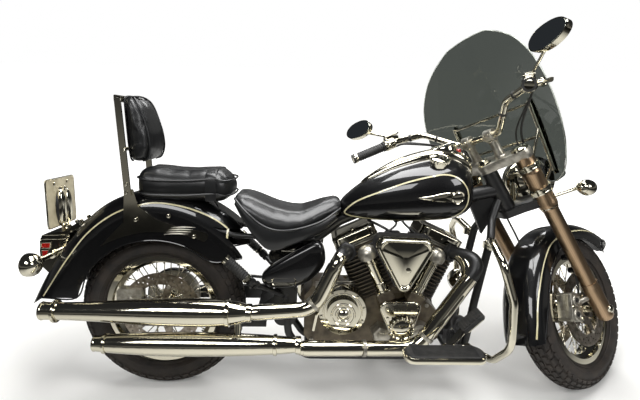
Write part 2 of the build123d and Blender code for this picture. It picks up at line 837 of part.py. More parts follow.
rear_opening = [(332, 655), (332, 540), (300, 480)]
rear_opening += arch_points(rear_hub_centre, rear_arch_radius - 25, 35, 165, 10)
rear_opening += [(-300, 330)]
rear_arch_top = (-60, rear_tyre_radius + rear_arch_radius - 6)
front_arch_top = (wheelbase - 25, front_tyre_radius + 286)
rear_round = 74.0
front_round = 52.0
rear_form = fender_form(
    rear_crown,
    rear_edge,
    rear_arch_top,
    rear_tail,
    rear_fender_half_width,
    rear_round,
)
rear_space = fender_form(
    nearer(rear_crown, rear_hub_centre, -1),
    rear_edge,
    rear_arch_top,
    rear_tail,
    rear_fender_half_width + 1,
    rear_round,
)
front_form = fender_form(
    front_crown,
    front_edge,
    front_arch_top,
    front_tip,
    front_fender_half_width,
    front_round,
)
rear_fender = make_fender(
    rear_hub_centre,
    rear_crown,
    rear_form,
    rear_fender_half_width,
    rear_round,
    rear_opening,
)
front_opening = [(wheelbase - 379, 205), (wheelbase - 305, 200)]
front_opening += arch_points(front_hub_centre, 262, 175, 32, 10)
front_opening += [(wheelbase + 305, 460)]
front_fender_shell = make_fender(
    front_hub_centre,
    front_crown,
    front_form,
    front_fender_half_width,
    front_round,
    front_opening,
)
nose_start = wheelbase + 110
nose_length = 240.0       # from there to the mudguard's front end, which is rounded in plan
with BuildPart() as beside_nose:
    with BuildSketch(Plane.XY.offset(front_tyre_radius)):
        with Locations((nose_start + nose_length, 0)):
            Rectangle(2 * nose_length, 2 * front_fender_half_width + 40)
        with Locations((nose_start, 0)):
            Ellipse(nose_length, front_fender_half_width + 6, mode=Mode.SUBTRACT)
    extrude(amount=2 * front_tyre_radius)
with BuildPart() as front_fender:
    add(front_fender_shell.part)
    add(beside_nose.part, mode=Mode.SUBTRACT)

# ================================================================ seats and backrest
with BuildPart() as rider_seat:
    with BuildSketch(Plane.XZ):
        with BuildLine():
            Spline(
                (302, 796),
                (384, 769),
                (463, 738),
                (520, 728),
                (590, 750),
                (662, 783),
                (694, 764),
            )
            Polyline(
                (694, 764),
                (694, 724),
                (620, 660),
                (534, 624),
                (445, 590),
                (412, 594),
                (302, 770),
                (302, 796),
            )
        make_face()
    extrude(amount=170, both=True)
    with BuildSketch(Plane.XY.offset(500)):
        with BuildLine():
            Spline((300, -128), (400, -162), (560, -150), (697, -78))
            Line((697, -78), (697, 78))
            Spline((697, 78), (560, 150), (400, 162), (300, 128))
            Line((300, 128), (300, -128))
        make_face()
    extrude(amount=400, mode=Mode.INTERSECT)
    # hollow under the seat, over the frame and the fender's front
    with BuildSketch(Plane.XZ):
        with BuildLine():
            Polyline(
                (250, 500),
                (250, 704),
                (340, 694),
                (470, 676),
                (560, 668),
                (640, 698),
                (702, 728),
                (702, 500),
                close=True,
            )
        make_face()
    extrude(amount=rear_fender_half_width + 5, both=True, mode=Mode.SUBTRACT)
    add(fuel_tank.part, mode=Mode.SUBTRACT)

with BuildPart() as passenger_seat:
    with BuildSketch(Plane.XZ):
        with BuildLine():
            Spline(
                (-58, 800),
                (-62, 872),
                (0, 882),
                (120, 880),
                (232, 874),
                (284, 832),
                (262, 778),
                (232, 762),
            )
            Polyline((232, 762), (-50, 766), (-58, 800))
        make_face()
    extrude(amount=118, both=True)
    add(rear_space.part, mode=Mode.SUBTRACT)

plate_out = rear_fender_half_width + 0.5
plate_thickness = 5.0
upright_foot = Vector(-84, 0, 790)
upright_top = Vector(-103, 0, 1136)
with BuildPart() as backrest_bar:
    for side in (1, -1):
        with BuildSketch(Plane.XZ.offset(side * plate_out)):
            with BuildLine():
                Polyline((-98, 812), (-66, 812), (-50, 750), (12, 702), (98, 672), (184, 656))
                ThreePointArc((184, 656), (199, 634), (184, 620))
                Spline((184, 620), (-4, 654), (-196, 597))
                Polyline((-196, 597), (-149, 648), (-107, 690), (-98, 812))
            make_face()
        extrude(amount=side * plate_thickness)
        with BuildSketch(Plane.XZ.offset(side * (plate_out + plate_thickness))):
            with BuildLine():
                Polyline(
                    (upright_foot.X - 11, upright_foot.Z),
                    (upright_top.X - 11, upright_top.Z),
                    (upright_top.X + 11, upright_top.Z),
                    (upright_foot.X + 13, upright_foot.Z),
                    close=True,
                )
            make_face()
        extrude(amount=side * 8)
    with BuildSketch(Plane.XZ.offset(-plate_out - plate_thickness - 8)):
        with Locations((upright_top.X - 6, upright_top.Z - 2)):
            RectangleRounded(10, 24, 4)
    extrude(amount=2 * (plate_out + plate_thickness + 8))
    rod((-99, -plate_out - 8, 955), (-99, plate_out + 8, 955), 7)

with BuildPart() as backrest_pad:
    with BuildSketch(Plane.XZ):
        with BuildLine():
            Polyline((-78, 910), (-91, 1060), (-97, 1142))
            Spline(
                (-97, 1142),
                (-62, 1142),
                (-42, 1119),
                (-20, 1050),
                (-8, 990),
                (-8, 950),
                (-22, 914),
                (-78, 910),
            )
        make_face()
    extrude(amount=106, both=True)
    rod((-99, -150, 955), (-99, 150, 955), 7.5, Mode.SUBTRACT)

# ================================================================ rear lamps and plate
with BuildPart() as tail_light:
    with BuildSketch(Plane.XZ):
        with BuildLine():
            Polyline(
                (-330, 640),
                (-372, 636),
                (-442, 622),
                (-454, 560),
                (-452, 500),
                (-428, 474),
                (-400, 474),
                close=True,
            )
        make_face()
    extrude(amount=58, both=True)
    fillet(tail_light.edges().filter_by(Axis.Y).sort_by(Axis.X)[:3], 10)
    add(rear_form.part, mode=Mode.SUBTRACT)

with BuildPart() as licence_plate:
    with BuildSketch(Plane.YZ.offset(-392)):
        with Locations((0, 744)):
            RectangleRounded(200, 185, 10)
    extrude(amount=4)
    with BuildSketch(Plane.YZ.offset(-388)):
        with Locations((0, 735)):
            Ellipse(32, 62)
    extrude(amount=16)
    with BuildSketch(Plane.YZ.offset(-388)):
        with Locations((0, 680)):
            Rectangle(30, 92)
    extrude(amount=6)

indicator_radius = 38.0
with BuildPart() as rear_indicators:
    for side in (1, -1):
        ball = Vector(-403, side * 186, 548)
        with BuildSketch(Plane(origin=ball, x_dir=(1, 0, 0), z_dir=(0, -1, 0))) as profile:
            with BuildLine():
                Line((-36, 0), (-36, 30))
                Spline((-36, 30), (-14, indicator_radius), (16, 26), (40, 0), tangents=[(1, 0.6), (0, -1)])
                Line((40, 0), (-36, 0))
            make_face()
        revolve(profile.sketch, axis=Axis(ball, (1, 0, 0)))
        rod((-410, side * 40, 548), (-403, side * 160, 548), 9)
    add(tail_light.part, mode=Mode.SUBTRACT)

with BuildPart() as side_covers:
    for side in (1, -1):
        with BuildSketch(Plane.XZ.offset(side * (rear_fender_half_width + 6))):
            with BuildLine():
                Polyline(
                    (408, 515),
                    (480, 572),
                    (560, 618),
                    (612, 640),
                    (636, 600),
                    (640, 560),
                    (596, 500),
                    (540, 466),
                    (436, 458),
                    close=True,
                )
            make_face()
        extrude(amount=side * 46)

# ================================================================ footboards, pedals and pegs
hinge_z = footboard_top - 12
with BuildPart() as footboard_brackets:
    for side in (1, -1):
        for x in (1062, 1144):
            tube(
                [
                    Vector(x, side * (cradle_out + 8), cradle_height + 8),
                    Vector(x, side * 190, 196),
                    Vector(x, side * (footboard_hinge_out - 1), hinge_z),
                ],
                9,
                40,
            )
        rod(
            (footboard_x - 110, side * footboard_hinge_out, hinge_z),
            (1152, side * footboard_hinge_out, hinge_z),
            6,
        )
    add(frame.part, mode=Mode.SUBTRACT)


def make_footboard(side):
    """A long rounded floorboard on two eyes along its inner edge."""
    inner = footboard_hinge_out + 15
    outer = inner + footboard_width - 15
    with BuildPart() as board:
        with BuildSketch(Plane.XY.offset(footboard_top - footboard_thickness)):
            with Locations((footboard_x, side * (inner + outer) / 2)):
                RectangleRounded(footboard_length, outer - inner, 34)
        extrude(amount=footboard_thickness)
        for x in (footboard_x - 92, footboard_x + 66):
            hinge = Vector(x, side * footboard_hinge_out, hinge_z)
            rod(hinge - Vector(14, 0, 0), hinge + Vector(14, 0, 0), 12)
            with Locations((x, side * (footboard_hinge_out + 12), hinge_z - 2)):
                Box(28, 24, 12)
        rod(
            (footboard_x - 200, side * footboard_hinge_out, hinge_z),
            (footboard_x + 200, side * footboard_hinge_out, hinge_z),
            6 + running_fit,
            Mode.SUBTRACT,
        )
    return board


left_footboard = make_footboard(1)
right_footboard = make_footboard(-1)

with BuildPart() as brake_pedal:
    with BuildSketch(Plane(origin=(1150, -284, 388), x_dir=across, z_dir=(-0.7, 0, 0.7))):
        RectangleRounded(62, 84, 10)
    extrude(amount=14)
    tube([Vector(1152, -276, 384), Vector(1104, -272, 322), Vector(1066, -272, 286)], 7, 40)
    rod((1066, -286, 286), (1066, -258, 286), 11)
    add(footboard_brackets.part, mode=Mode.SUBTRACT)

with BuildPart() as gear_pedal:
    tube(
        [
            Vector(1160, 330, 372),
            Vector(1160, 272, 372),
            Vector(1100, 268, 330),
            Vector(1066, 268, 286),
        ],
        7,
        [26, 40],
    )
    rod((1066, 256, 286), (1066, 284, 286), 11)
    rod((1160, 290, 372), (1160, 340, 372), 13)
    add(footboard_brackets.part, mode=Mode.SUBTRACT)


peg_pin = Vector(0.69, 0, 0.724)          # the hinge pin's way
peg_rest = Vector(-0.724, 0, 0.69)        # the peg's way when folded
peg_eye_radius = 11.0
peg_pin_radius = 5.0


def make_peg(side):
    """A passenger's footpeg, folded up along the machine."""
    hinge = Vector(peg_hinge.X, side * peg_hinge.Y, peg_hinge.Z)
    with BuildPart() as peg:
        rod(hinge - peg_pin * 7, hinge + peg_pin * 7, peg_eye_radius)
        rod(hinge, hinge + peg_rest * 30, 6)
        rod(hinge + peg_rest * 20, hinge + peg_rest * (20 + peg_length), peg_radius)
        rod(hinge - peg_pin * 20, hinge + peg_pin * 20, peg_pin_radius + running_fit, Mode.SUBTRACT)
    return peg


left_peg = make_peg(1)
right_peg = make_peg(-1)

with BuildPart() as peg_brackets:
    for side in (1, -1):
        hinge = Vector(peg_hinge.X, side * peg_hinge.Y, peg_hinge.Z)
        back = (Vector(pivot_x - 10, side * (pivot_plate_out + 6), pivot_z + 20) - hinge).normalized()
        for reach in (11, -11):
            rod(hinge + peg_pin * (reach - 3), hinge + peg_pin * (reach + 3), 15)
        rod(hinge - peg_pin * 14, hinge + peg_pin * 14, peg_pin_radius)
        rod(hinge + back * 22 - peg_pin * 14, hinge + back * 22 + peg_pin * 14, 9)
        rod(hinge + back * 22, Vector(pivot_x - 10, side * (pivot_plate_out + 2), pivot_z + 20), 10)
    add(frame.part, mode=Mode.SUBTRACT)

# ================================================================ crash bars
with BuildPart() as crash_bars:
    for side in (1, -1):
        tube(
            [
                Vector(1262, side * (cradle_out + 6), 622),
                Vector(1226, side * 200, 664),
                Vector(1236, side * 292, 600),
                Vector(1276, side * 306, 470),
                Vector(1284, side * 302, 300),
                Vector(1262, side * 210, 206),
                Vector(1206, side * (cradle_out + 6), 200),
            ],
            14,
            [60, 60, 100, 100, 60],
        )
    add(frame.part, mode=Mode.SUBTRACT)

# ================================================================ brakes
with BuildPart() as rear_caliper:
    with BuildSketch(wheel_plane(rear_hub_centre, -hub_shoulder - disc_thickness - 24)):
        with Locations((-112, -66)):
            RectangleRounded(96, 62, 12)
    extrude(amount=24 + disc_thickness + 14)
    with BuildSketch(wheel_plane(rear_hub_centre, -hub_shoulder - disc_thickness - 1.5)):
        Circle(rear_disc_radius + 3)
    extrude(amount=disc_thickness + 3, mode=Mode.SUBTRACT)
    rod(
        (-112, -hub_shoulder - disc_thickness - 20, rear_tyre_radius + 60),
        (-60, -arm_right_out + 4, rear_tyre_radius + 20),
        9,
    )
    add(swingarm.part, mode=Mode.SUBTRACT)

# ================================================================ side stand
foot_height = (floor_point - Vector(stand_foot_x, stand_foot_out, 0)).dot(floor_up) / floor_up.Z
stand_foot = Vector(stand_foot_x, stand_foot_out, foot_height)
foot_thickness = 8.0
stand_leg = (stand_foot - stand_pivot).normalized()
with BuildPart() as side_stand:
    rod(
        stand_pivot - stand_axis * stand_eye_thickness / 2,
        stand_pivot + stand_axis * stand_eye_thickness / 2,
        stand_eye_radius,
    )
    rod(stand_pivot + stand_leg * 17, stand_foot + floor_up * (foot_thickness + 6), 11)
    leg_end = stand_foot + floor_up * foot_thickness - stand_leg * 14
    rod(stand_pivot + stand_leg * 34, leg_end, stand_leg_radius)
    with BuildSketch(Plane(origin=stand_foot, x_dir=(1, 0, 0), z_dir=floor_up)):
        with Locations((4, 8)):
            RectangleRounded(78, 56, 24)
    extrude(amount=foot_thickness)
    pin_reach = stand_axis * 40
    rod(stand_pivot - pin_reach, stand_pivot + pin_reach, stand_pin_radius + running_fit, Mode.SUBTRACT)

# ================================================================ front fork
leg_spots = ((fork_lead, fork_half_width), (fork_lead, -fork_half_width))
cover_foot = lower_yoke_height - 14

with BuildPart() as fork_covers:
    with BuildSketch(fork_plane.offset(cover_foot)):
        with Locations(*leg_spots):
            Circle(fork_cover_radius)
    extrude(amount=upper_yoke_height - cover_foot)

with BuildPart() as fork_sliders:
    with BuildSketch(fork_plane.offset(front_axle_height + 130)):
        with Locations(*leg_spots):
            Circle(slider_radius)
    extrude(amount=cover_foot - front_axle_height - 130)
    with BuildSketch(fork_plane.offset(front_axle_height - 30)):
        with Locations(*leg_spots):
            Circle(slider_radius + 4)
    extrude(amount=160)
    rod(
        front_hub_centre - Vector(0, 200, 0),
        front_hub_centre + Vector(0, 200, 0),
        axle_radius,
        Mode.SUBTRACT,
    )

with BuildPart() as lower_yoke:
    with BuildSketch(fork_plane.offset(lower_yoke_height)):
        Circle(38)
        with Locations((fork_lead, fork_half_width - 20), (fork_lead, 20 - fork_half_width)):
            Circle(30)
        make_hull()
    extrude(amount=yoke_thickness)
    with BuildSketch(fork_plane.offset(lower_yoke_height)):
        Circle(stem_radius)
    extrude(amount=upper_yoke_height - lower_yoke_height)
    add(fork_covers.part, mode=Mode.SUBTRACT)

with BuildPart() as upper_yoke:
    with BuildSketch(fork_plane.offset(upper_yoke_height)):
        with Locations((4, 0)):
            Circle(34)
        with Locations(*leg_spots):
            Circle(36)
        make_hull()
    extrude(amount=yoke_thickness)

bar_centre = on_fork(41, 0, 1172)
grip_inner = Vector(wheelbase - 632, 342, 1068)
grip_outer = Vector(wheelbase - 739, 401, 1026)
riser_out = 52.0
half_bar = [
    bar_centre + Vector(0, riser_out, 0),
    bar_centre + Vector(0, 90, 0),
    Vector(wheelbase - 535, 196, 1086),
    Vector(wheelbase - 589, 312, 1085),
    grip_outer,
]


with BuildPart() as handlebar:
    # the straight middle, with a free stretch between the two clamps, then the two sides
    rod(bar_centre - Vector(0, riser_out, 0), bar_centre + Vector(0, riser_out, 0), bar_radius)
    for side in (1, -1):
        tube([Vector(point.X, side * point.Y, point.Z) for point in half_bar], bar_radius, [44, 60, 60])
        riser_foot = on_fork(41, side * riser_out, upper_yoke_height + yoke_thickness)
        rod(riser_foot, on_fork(41, side * riser_out, 1172), 17)
        rod(on_fork(41, side * (riser_out - 18), 1172), on_fork(41, side * (riser_out + 18), 1172), 24)

grip_way = (grip_outer - grip_inner).normalized()
with BuildPart() as grips:
    for side in (1, -1):
        inner = Vector(grip_inner.X, side * grip_inner.Y, grip_inner.Z)
        outer = Vector(grip_outer.X, side * grip_outer.Y, grip_outer.Z)
        rod(inner, outer, grip_radius)
        end_way = (outer - inner).normalized()
        rod(outer - end_way * 2, outer + end_way * 16, grip_radius + 3)
    add(handlebar.part, mode=Mode.SUBTRACT)

ahead_of_grip = Vector(0.48, 0.87, 0.0)
with BuildPart() as hand_levers:
    for side in (1, -1):
        perch = grip_inner - grip_way * 34
        near = perch + ahead_of_grip * 40
        far = grip_outer + ahead_of_grip * 56 - grip_way * 6
        sided = [Vector(point.X, side * point.Y, point.Z) for point in (perch, near, far)]
        lever_run = Vector(grip_way.X, side * grip_way.Y, grip_way.Z)
        rod(sided[0] - lever_run * 16, sided[0] + lever_run * 16, 24)
        rod(sided[0], sided[1], 11)
        rod(sided[1] - lever_run * 8, sided[2], 7)
        # fluid reservoir or clutch clamp above the bar
        top_of_clamp = Plane(origin=sided[0] + Vector(8, 0, 16), x_dir=lever_run, z_dir=(0, 0, 1))
        with BuildSketch(top_of_clamp):
            RectangleRounded(62, 34, 8)
        extrude(amount=18)
    add(handlebar.part, mode=Mode.SUBTRACT)

mirror_centre = Vector(wheelbase - 669, 446, 1172)
with BuildPart() as mirrors:
    for side in (1, -1):
        centre = Vector(mirror_centre.X, side * mirror_centre.Y, mirror_centre.Z)
        face = Plane(origin=centre, x_dir=(0.2, -side * 0.98, 0.0), z_dir=(-0.96, -side * 0.196, 0.2))
        with BuildSketch(face.offset(-11)):
            Ellipse(68, 40)
        extrude(amount=22)
        foot = grip_inner - grip_way * 34
        foot = Vector(foot.X + 14, side * foot.Y, foot.Z + 30)
        rod(foot, centre + Vector(8, 0, -6), 5)
        rod(foot - Vector(0, 0, 8), foot + Vector(0, 0, 6), 8)
    add(hand_levers.part, mode=Mode.SUBTRACT)

# ================================================================ windscreen, headlight, indicators
screen_tilt = 20.0
screen_x = wheelbase - 233
screen_z = 900.0
screen_curve = 555.0
screen_thickness = 4.5
tilt_sin = sin(radians(screen_tilt))
tilt_cos = cos(radians(screen_tilt))
screen_face = Plane(origin=(screen_x, 0, screen_z), x_dir=across, z_dir=(tilt_cos, 0, tilt_sin))
screen_axis = Plane(
    origin=Vector(screen_x, 0, screen_z) - screen_face.z_dir * screen_curve,
    x_dir=(tilt_cos, 0, tilt_sin),
    z_dir=(-tilt_sin, 0, tilt_cos),
)
screen_outline = [
    (0, 580),
    (112, 562),
    (204, 494),
    (264, 392),
    (288, 270),
    (284, 150),
    (256, 40),
    (216, -36),
    (168, -72),
]

with BuildPart() as windshield:
    with BuildSketch(screen_axis.offset(-120)):
        Circle(screen_curve)
        Circle(screen_curve - screen_thickness, mode=Mode.SUBTRACT)
    extrude(amount=760)
    with BuildSketch(screen_face):
        with BuildLine():
            Spline(*screen_outline, tangents=[(1, 0), (-1, -0.3)])
            ThreePointArc((168, -72), (124, -62), (112, -20))
            ThreePointArc((112, -20), (0, 88), (-112, -20))
            ThreePointArc((-112, -20), (-124, -62), (-168, -72))
            Spline(*[(-x, y) for x, y in screen_outline], tangents=[(-1, 0), (1, -0.3)])
        make_face()
    extrude(amount=300, both=True, mode=Mode.INTERSECT)


def on_screen(out, up):
    """A point on the rear of the windscreen."""
    behind = screen_curve - sqrt(screen_curve**2 - out**2)
    return screen_face.from_local_coords(Vector(out, up, -behind - screen_thickness))


with BuildPart() as windshield_brackets:
    for side in (1, -1):
        for up, ahead in ((-10, 908), (140, 1010)):
            clamp = on_fork(fork_lead, side * fork_half_width, ahead)
            rod(clamp - fork_plane.z_dir * 12, clamp + fork_plane.z_dir * 12, fork_cover_radius + 6)
            rod(clamp + Vector(20, 0, 0), on_screen(side * 176, up) - Vector(9, 0, 0), 6)
        rod(on_screen(side * 176, -30) - Vector(9, 0, 0), on_screen(side * 176, 250) - Vector(9, 0, 0), 7)
    for up in (110, 240):
        rod(on_screen(-176, up) - Vector(9, 0, 0), on_screen(176, up) - Vector(9, 0, 0), 6)
    add(fork_covers.part, mode=Mode.SUBTRACT)
    add(lower_yoke.part, mode=Mode.SUBTRACT)

lamp_centre = Vector(wheelbase - 185, 0, 866)
with BuildPart() as headlight:
    with BuildSketch(Plane(origin=lamp_centre, x_dir=(1, 0, 0), z_dir=(0, -1, 0))) as profile:
        with BuildLine():
            Line((62, 0), (62, 96))
            Polyline((62, 96), (40, 100), (20, 94))
            Spline((20, 94), (-40, 72), (-82, 0), tangents=[(-1, 0), (0, -1)])
            Line((-82, 0), (62, 0))
        make_face()
    revolve(profile.sketch, axis=Axis(lamp_centre, (1, 0, 0)))
    rod(lamp_centre - Vector(60, 0, 0), on_fork(40, 0, lower_yoke_height + yoke_thickness / 2), 16)
    add(lower_yoke.part, mode=Mode.SUBTRACT)

lamp_out = 220.0
lamp_spot = Vector(wheelbase - 144, 0, 788)
with BuildPart() as front_indicators:
    for side in (1, -1):
        ball = lamp_spot + Vector(0, side * lamp_out, 0)
        with BuildSketch(Plane(origin=ball, x_dir=(1, 0, 0), z_dir=(0, -1, 0))) as profile:
            with BuildLine():
                Line((28, 0), (28, 22))
                Spline((28, 22), (10, 30), (-12, 22), (-34, 0), tangents=[(-1, 0.6), (0, -1)])
                Line((-34, 0), (28, 0))
            make_face()
        revolve(profile.sketch, axis=Axis(ball, (1, 0, 0)))
        foot = on_fork(fork_lead + 20, side * fork_half_width, cover_foot + 20)
        rod(ball + Vector(-6, -side * 20, 4), foot, 7)
    add(fork_covers.part, mode=Mode.SUBTRACT)
    add(windshield_brackets.part, mode=Mode.SUBTRACT)

# ================================================================ front axle and brakes
with BuildPart() as front_axle:
    reach = fork_half_width + slider_radius + 10
    rod(front_hub_centre - Vector(0, reach, 0), front_hub_centre + Vector(0, reach, 0), axle_radius)
    for side in (1, -1):
        inner = front_hub_centre + Vector(0, side * (front_hub_end + 1), 0)
        rod(inner, front_hub_centre + Vector(0, side * (fork_half_width - slider_radius - 6), 0), 15)
    add(fork_sliders.part, mode=Mode.SUBTRACT)

caliper_turn = 172.0      # round the axle from straight ahead
caliper_reach = 120.0
caliper_across = 56.0     # along the axle
caliper_outboard = 7.0    # its middle outside the disc's
with BuildPart() as front_calipers:
    for side in (1, -1):
        middle = hub_shoulder + disc_thickness / 2 + caliper_outboard
        with BuildSketch(wheel_plane(front_hub_centre, side * middle)):
            with PolarLocations(caliper_reach, 1, start_angle=-caliper_turn):
                RectangleRounded(78, 110, 14)
        extrude(amount=caliper_across / 2, both=True)
        arm_start = front_hub_centre + Vector(-100, side * (hub_shoulder + 16), 26)
        rod(arm_start, on_fork(fork_lead - 12, side * (fork_half_width - 12), front_axle_height + 70), 11)
    for side in (1, -1):
        with BuildSketch(wheel_plane(front_hub_centre, side * (hub_shoulder + disc_thickness / 2))):
            Circle(front_disc_radius + 4)
        extrude(amount=disc_thickness / 2 + 1.5, both=True, mode=Mode.SUBTRACT)
    add(fork_sliders.part, mode=Mode.SUBTRACT)

# mudguard stays to the fork legs
with BuildPart() as fender_stays:
    for side in (1, -1):
        for up in (front_axle_height + 190, front_axle_height + 250):
            leg = on_fork(fork_lead, side * fork_half_width, up)
            rod(leg, Vector(leg.X, side * (front_fender_half_width - 1), leg.Z), 11)
    add(fork_sliders.part, mode=Mode.SUBTRACT)
    add(front_form.part, mode=Mode.SUBTRACT)

# ================================================================ like pieces that share a node
with BuildPart() as console_and_speedometer:
    add(tank_console.part)
    add(speedometer.part)

with BuildPart() as footrest_brackets:
    add(footboard_brackets.part)
    add(peg_brackets.part)

with BuildPart() as foot_pedals:
    add(brake_pedal.part)
    add(gear_pedal.part)

with BuildPart() as fender_and_stays:
    add(front_fender.part)
    add(fender_stays.part)

# ================================================================ the pieces and how they are held
bodies = {
    "chassis": {
        "frame": frame,
        "swingarm": swingarm,
        "rear_axle": rear_axle,
        "drive_belt": drive_belt,
        "crankcase": crankcase,
        "engine_covers": engine_covers,
        "cylinders": cylinders,
        "rocker_covers": rocker_covers,
        "pushrod_covers": pushrod_covers,
        "air_cleaner": air_cleaner,
        "carburettor": carburettor,
        "exhaust_pipes": exhaust_pipes,
        "mufflers": mufflers,
        "fuel_tank": fuel_tank,
        "tank_console": console_and_speedometer,
        "filler_cap": filler_cap,
        "rear_fender": rear_fender,
        "rider_seat": rider_seat,
        "passenger_seat": passenger_seat,
        "backrest_bar": backrest_bar,
        "backrest_pad": backrest_pad,
        "tail_light": tail_light,
        "licence_plate": licence_plate,
        "rear_indicators": rear_indicators,
        "side_covers": side_covers,
        "footrest_brackets": footrest_brackets,
        "foot_pedals": foot_pedals,
        "crash_bars": crash_bars,
        "rear_caliper": rear_caliper,
    },
    "rear_wheel": {
        "rear_tyre": rear_tyre,
        "rear_rim": rear_rim,
        "rear_hub": rear_hub,
        "rear_disc": rear_disc,
        "rear_pulley": rear_pulley,
    },
    "steering": {
        "lower_yoke": lower_yoke,
        "upper_yoke": upper_yoke,
        "fork_covers": fork_covers,
        "fork_sliders": fork_sliders,
        "front_axle": front_axle,
        "front_calipers": front_calipers,
        "front_fender": fender_and_stays,
        "handlebar": handlebar,
        "grips": grips,
        "hand_levers": hand_levers,
        "mirrors": mirrors,
        "windshield": windshield,
        "windshield_brackets": windshield_brackets,
        "headlight": headlight,
        "front_indicators": front_indicators,
    },
    "front_wheel": {
        "front_tyre": front_tyre,
        "front_rim": front_rim,
        "front_hub": front_hub,
        "front_discs": front_discs,
    },
    "side_stand": {"side_stand": side_stand},
    "left_footboard": {"left_footboard": left_footboard},
    "right_footboard": {"right_footboard": right_footboard},
    "left_peg": {"left_peg": left_peg},
    "right_peg": {"right_peg": right_peg},
}

# lean and steer every piece, then set the origin under the middle of the whole machine
for body, pieces in bodies.items():
    place = parked * steered if body in ("steering", "front_wheel") else parked
    for name, piece in pieces.items():
        piece.part.label = name
        piece.part.location = place
boxes = [piece.part.bounding_box() for pieces in bodies.values() for piece in pieces.values()]
low_x = min(box.min.X for box in boxes)
high_x = max(box.max.X for box in boxes)
low_y = min(box.min.Y for box in boxes)
high_y = max(box.max.Y for box in boxes)
low_z = min(box.min.Z for box in boxes)
to_origin = Pos(-(low_x + high_x) / 2, -(low_y + high_y) / 2, -low_z)
for pieces in bodies.values():
    for name, piece in pieces.items():
        piece.part.location = to_origin * piece.part.location
        export_step(piece.part, f"parts/{name}.step")
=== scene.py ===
import bmesh
import bpy
import json
from math import cos, pi, radians, sin, sqrt
from mathutils import Matrix, Vector
from mathutils.bvhtree import BVHTree


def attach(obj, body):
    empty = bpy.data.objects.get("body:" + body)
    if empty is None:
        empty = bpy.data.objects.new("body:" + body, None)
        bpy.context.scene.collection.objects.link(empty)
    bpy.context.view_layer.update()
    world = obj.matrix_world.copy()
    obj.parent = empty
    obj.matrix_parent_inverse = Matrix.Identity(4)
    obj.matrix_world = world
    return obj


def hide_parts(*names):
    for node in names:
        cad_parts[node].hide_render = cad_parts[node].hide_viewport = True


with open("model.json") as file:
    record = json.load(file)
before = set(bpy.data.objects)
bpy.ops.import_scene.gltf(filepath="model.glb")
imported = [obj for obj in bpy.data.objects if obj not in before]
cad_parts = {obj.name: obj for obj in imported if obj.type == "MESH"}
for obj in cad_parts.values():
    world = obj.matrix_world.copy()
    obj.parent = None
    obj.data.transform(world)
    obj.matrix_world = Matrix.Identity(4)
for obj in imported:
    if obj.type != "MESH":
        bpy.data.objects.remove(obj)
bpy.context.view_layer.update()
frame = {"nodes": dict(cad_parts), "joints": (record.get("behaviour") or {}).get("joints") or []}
nodes = frame["nodes"]
joints = {joint["name"]: joint for joint in frame["joints"]}

# ---------------------------------------------------------------- the machine's own axes
# Every shape below is drawn in millimetres on the machine standing upright and steering straight:
# X ahead of the rear axle, Y to the rider's left, Z up from the road. The two matrices lean it
# onto its stand, and turn what is steered.
RAKE = radians(32)
WHEELBASE = 1685.0
REAR_HUB = Vector((0, 0, 323))
FRONT_HUB = Vector((WHEELBASE, 0, 320))
# where the steering axis meets the road, with the fork 48 mm ahead of it
STEER_HEAD = Vector((WHEELBASE + (FRONT_HUB.z * sin(RAKE) - 48) / cos(RAKE), 0, 0))
UP_FORK = Vector((-sin(RAKE), 0, cos(RAKE)))
AHEAD_OF_FORK = Vector((cos(RAKE), 0, sin(RAKE)))


def place_of(wheel_joint, hub):
    """The matrix from the upright machine in millimetres to the frame in metres."""
    left = Vector(joints[wheel_joint]["axis"]).normalized()
    up_fork = -Vector(joints["steering_turn"]["axis"]).normalized()
    ahead = left.cross(up_fork)
    x = cos(RAKE) * ahead - sin(RAKE) * up_fork
    z = sin(RAKE) * ahead + cos(RAKE) * up_fork
    turn = Matrix((x, left, z)).transposed() * 0.001
    corner = Vector(joints[wheel_joint]["pos_m"]) - turn @ hub
    return Matrix.Translation(corner) @ turn.to_4x4()


CHASSIS = place_of("rear_wheel_spin", REAR_HUB)
STEERED = place_of("front_wheel_spin", FRONT_HUB)


def place_for(body):
    return STEERED if body in ("steering", "front_wheel") else CHASSIS


def on_fork(ahead, out, up):
    """A point in the steering head's axes: ahead of the stem, to the left, up the stem."""
    return STEER_HEAD + AHEAD_OF_FORK * ahead + Vector((0, out, 0)) + UP_FORK * up


# ---------------------------------------------------------------- materials
# Each finish is a material and the slot of the CAD record that it stands for.
def hex_colour(code):
    """An sRGB hex value as linear red, green, blue and alpha."""
    parts = [int(code[place:place + 2], 16) / 255 for place in (1, 3, 5)]
    linear = [part / 12.92 if part <= 0.04045 else ((part + 0.055) / 1.055) ** 2.4 for part in parts]
    return (*linear, 1.0)


def add_node(tree, kind, settings=None, inputs=None):
    """A node with its settings, and its sockets given a value or linked to another's output."""
    node = tree.nodes.new(kind)
    for name, value in (settings or {}).items():
        setattr(node, name, value)
    for name, value in (inputs or {}).items():
        if isinstance(value, bpy.types.NodeSocket):
            tree.links.new(value, node.inputs[name])
        else:
            node.inputs[name].default_value = value
    return node


def new_material(name, colour, metallic=0.0, roughness=0.5, **sockets):
    """A Principled material with its constant values on the shader's own sockets."""
    material = bpy.data.materials.new(name)
    material.use_nodes = True
    tree = material.node_tree
    shader = tree.nodes["Principled BSDF"]
    shader.inputs["Base Color"].default_value = hex_colour(colour)
    shader.inputs["Metallic"].default_value = metallic
    shader.inputs["Roughness"].default_value = roughness
    for socket, value in sockets.items():
        shader.inputs[socket.replace("_", " ")].default_value = value
    return material, tree, shader, add_node(tree, "ShaderNodeTexCoord").outputs["Object"]


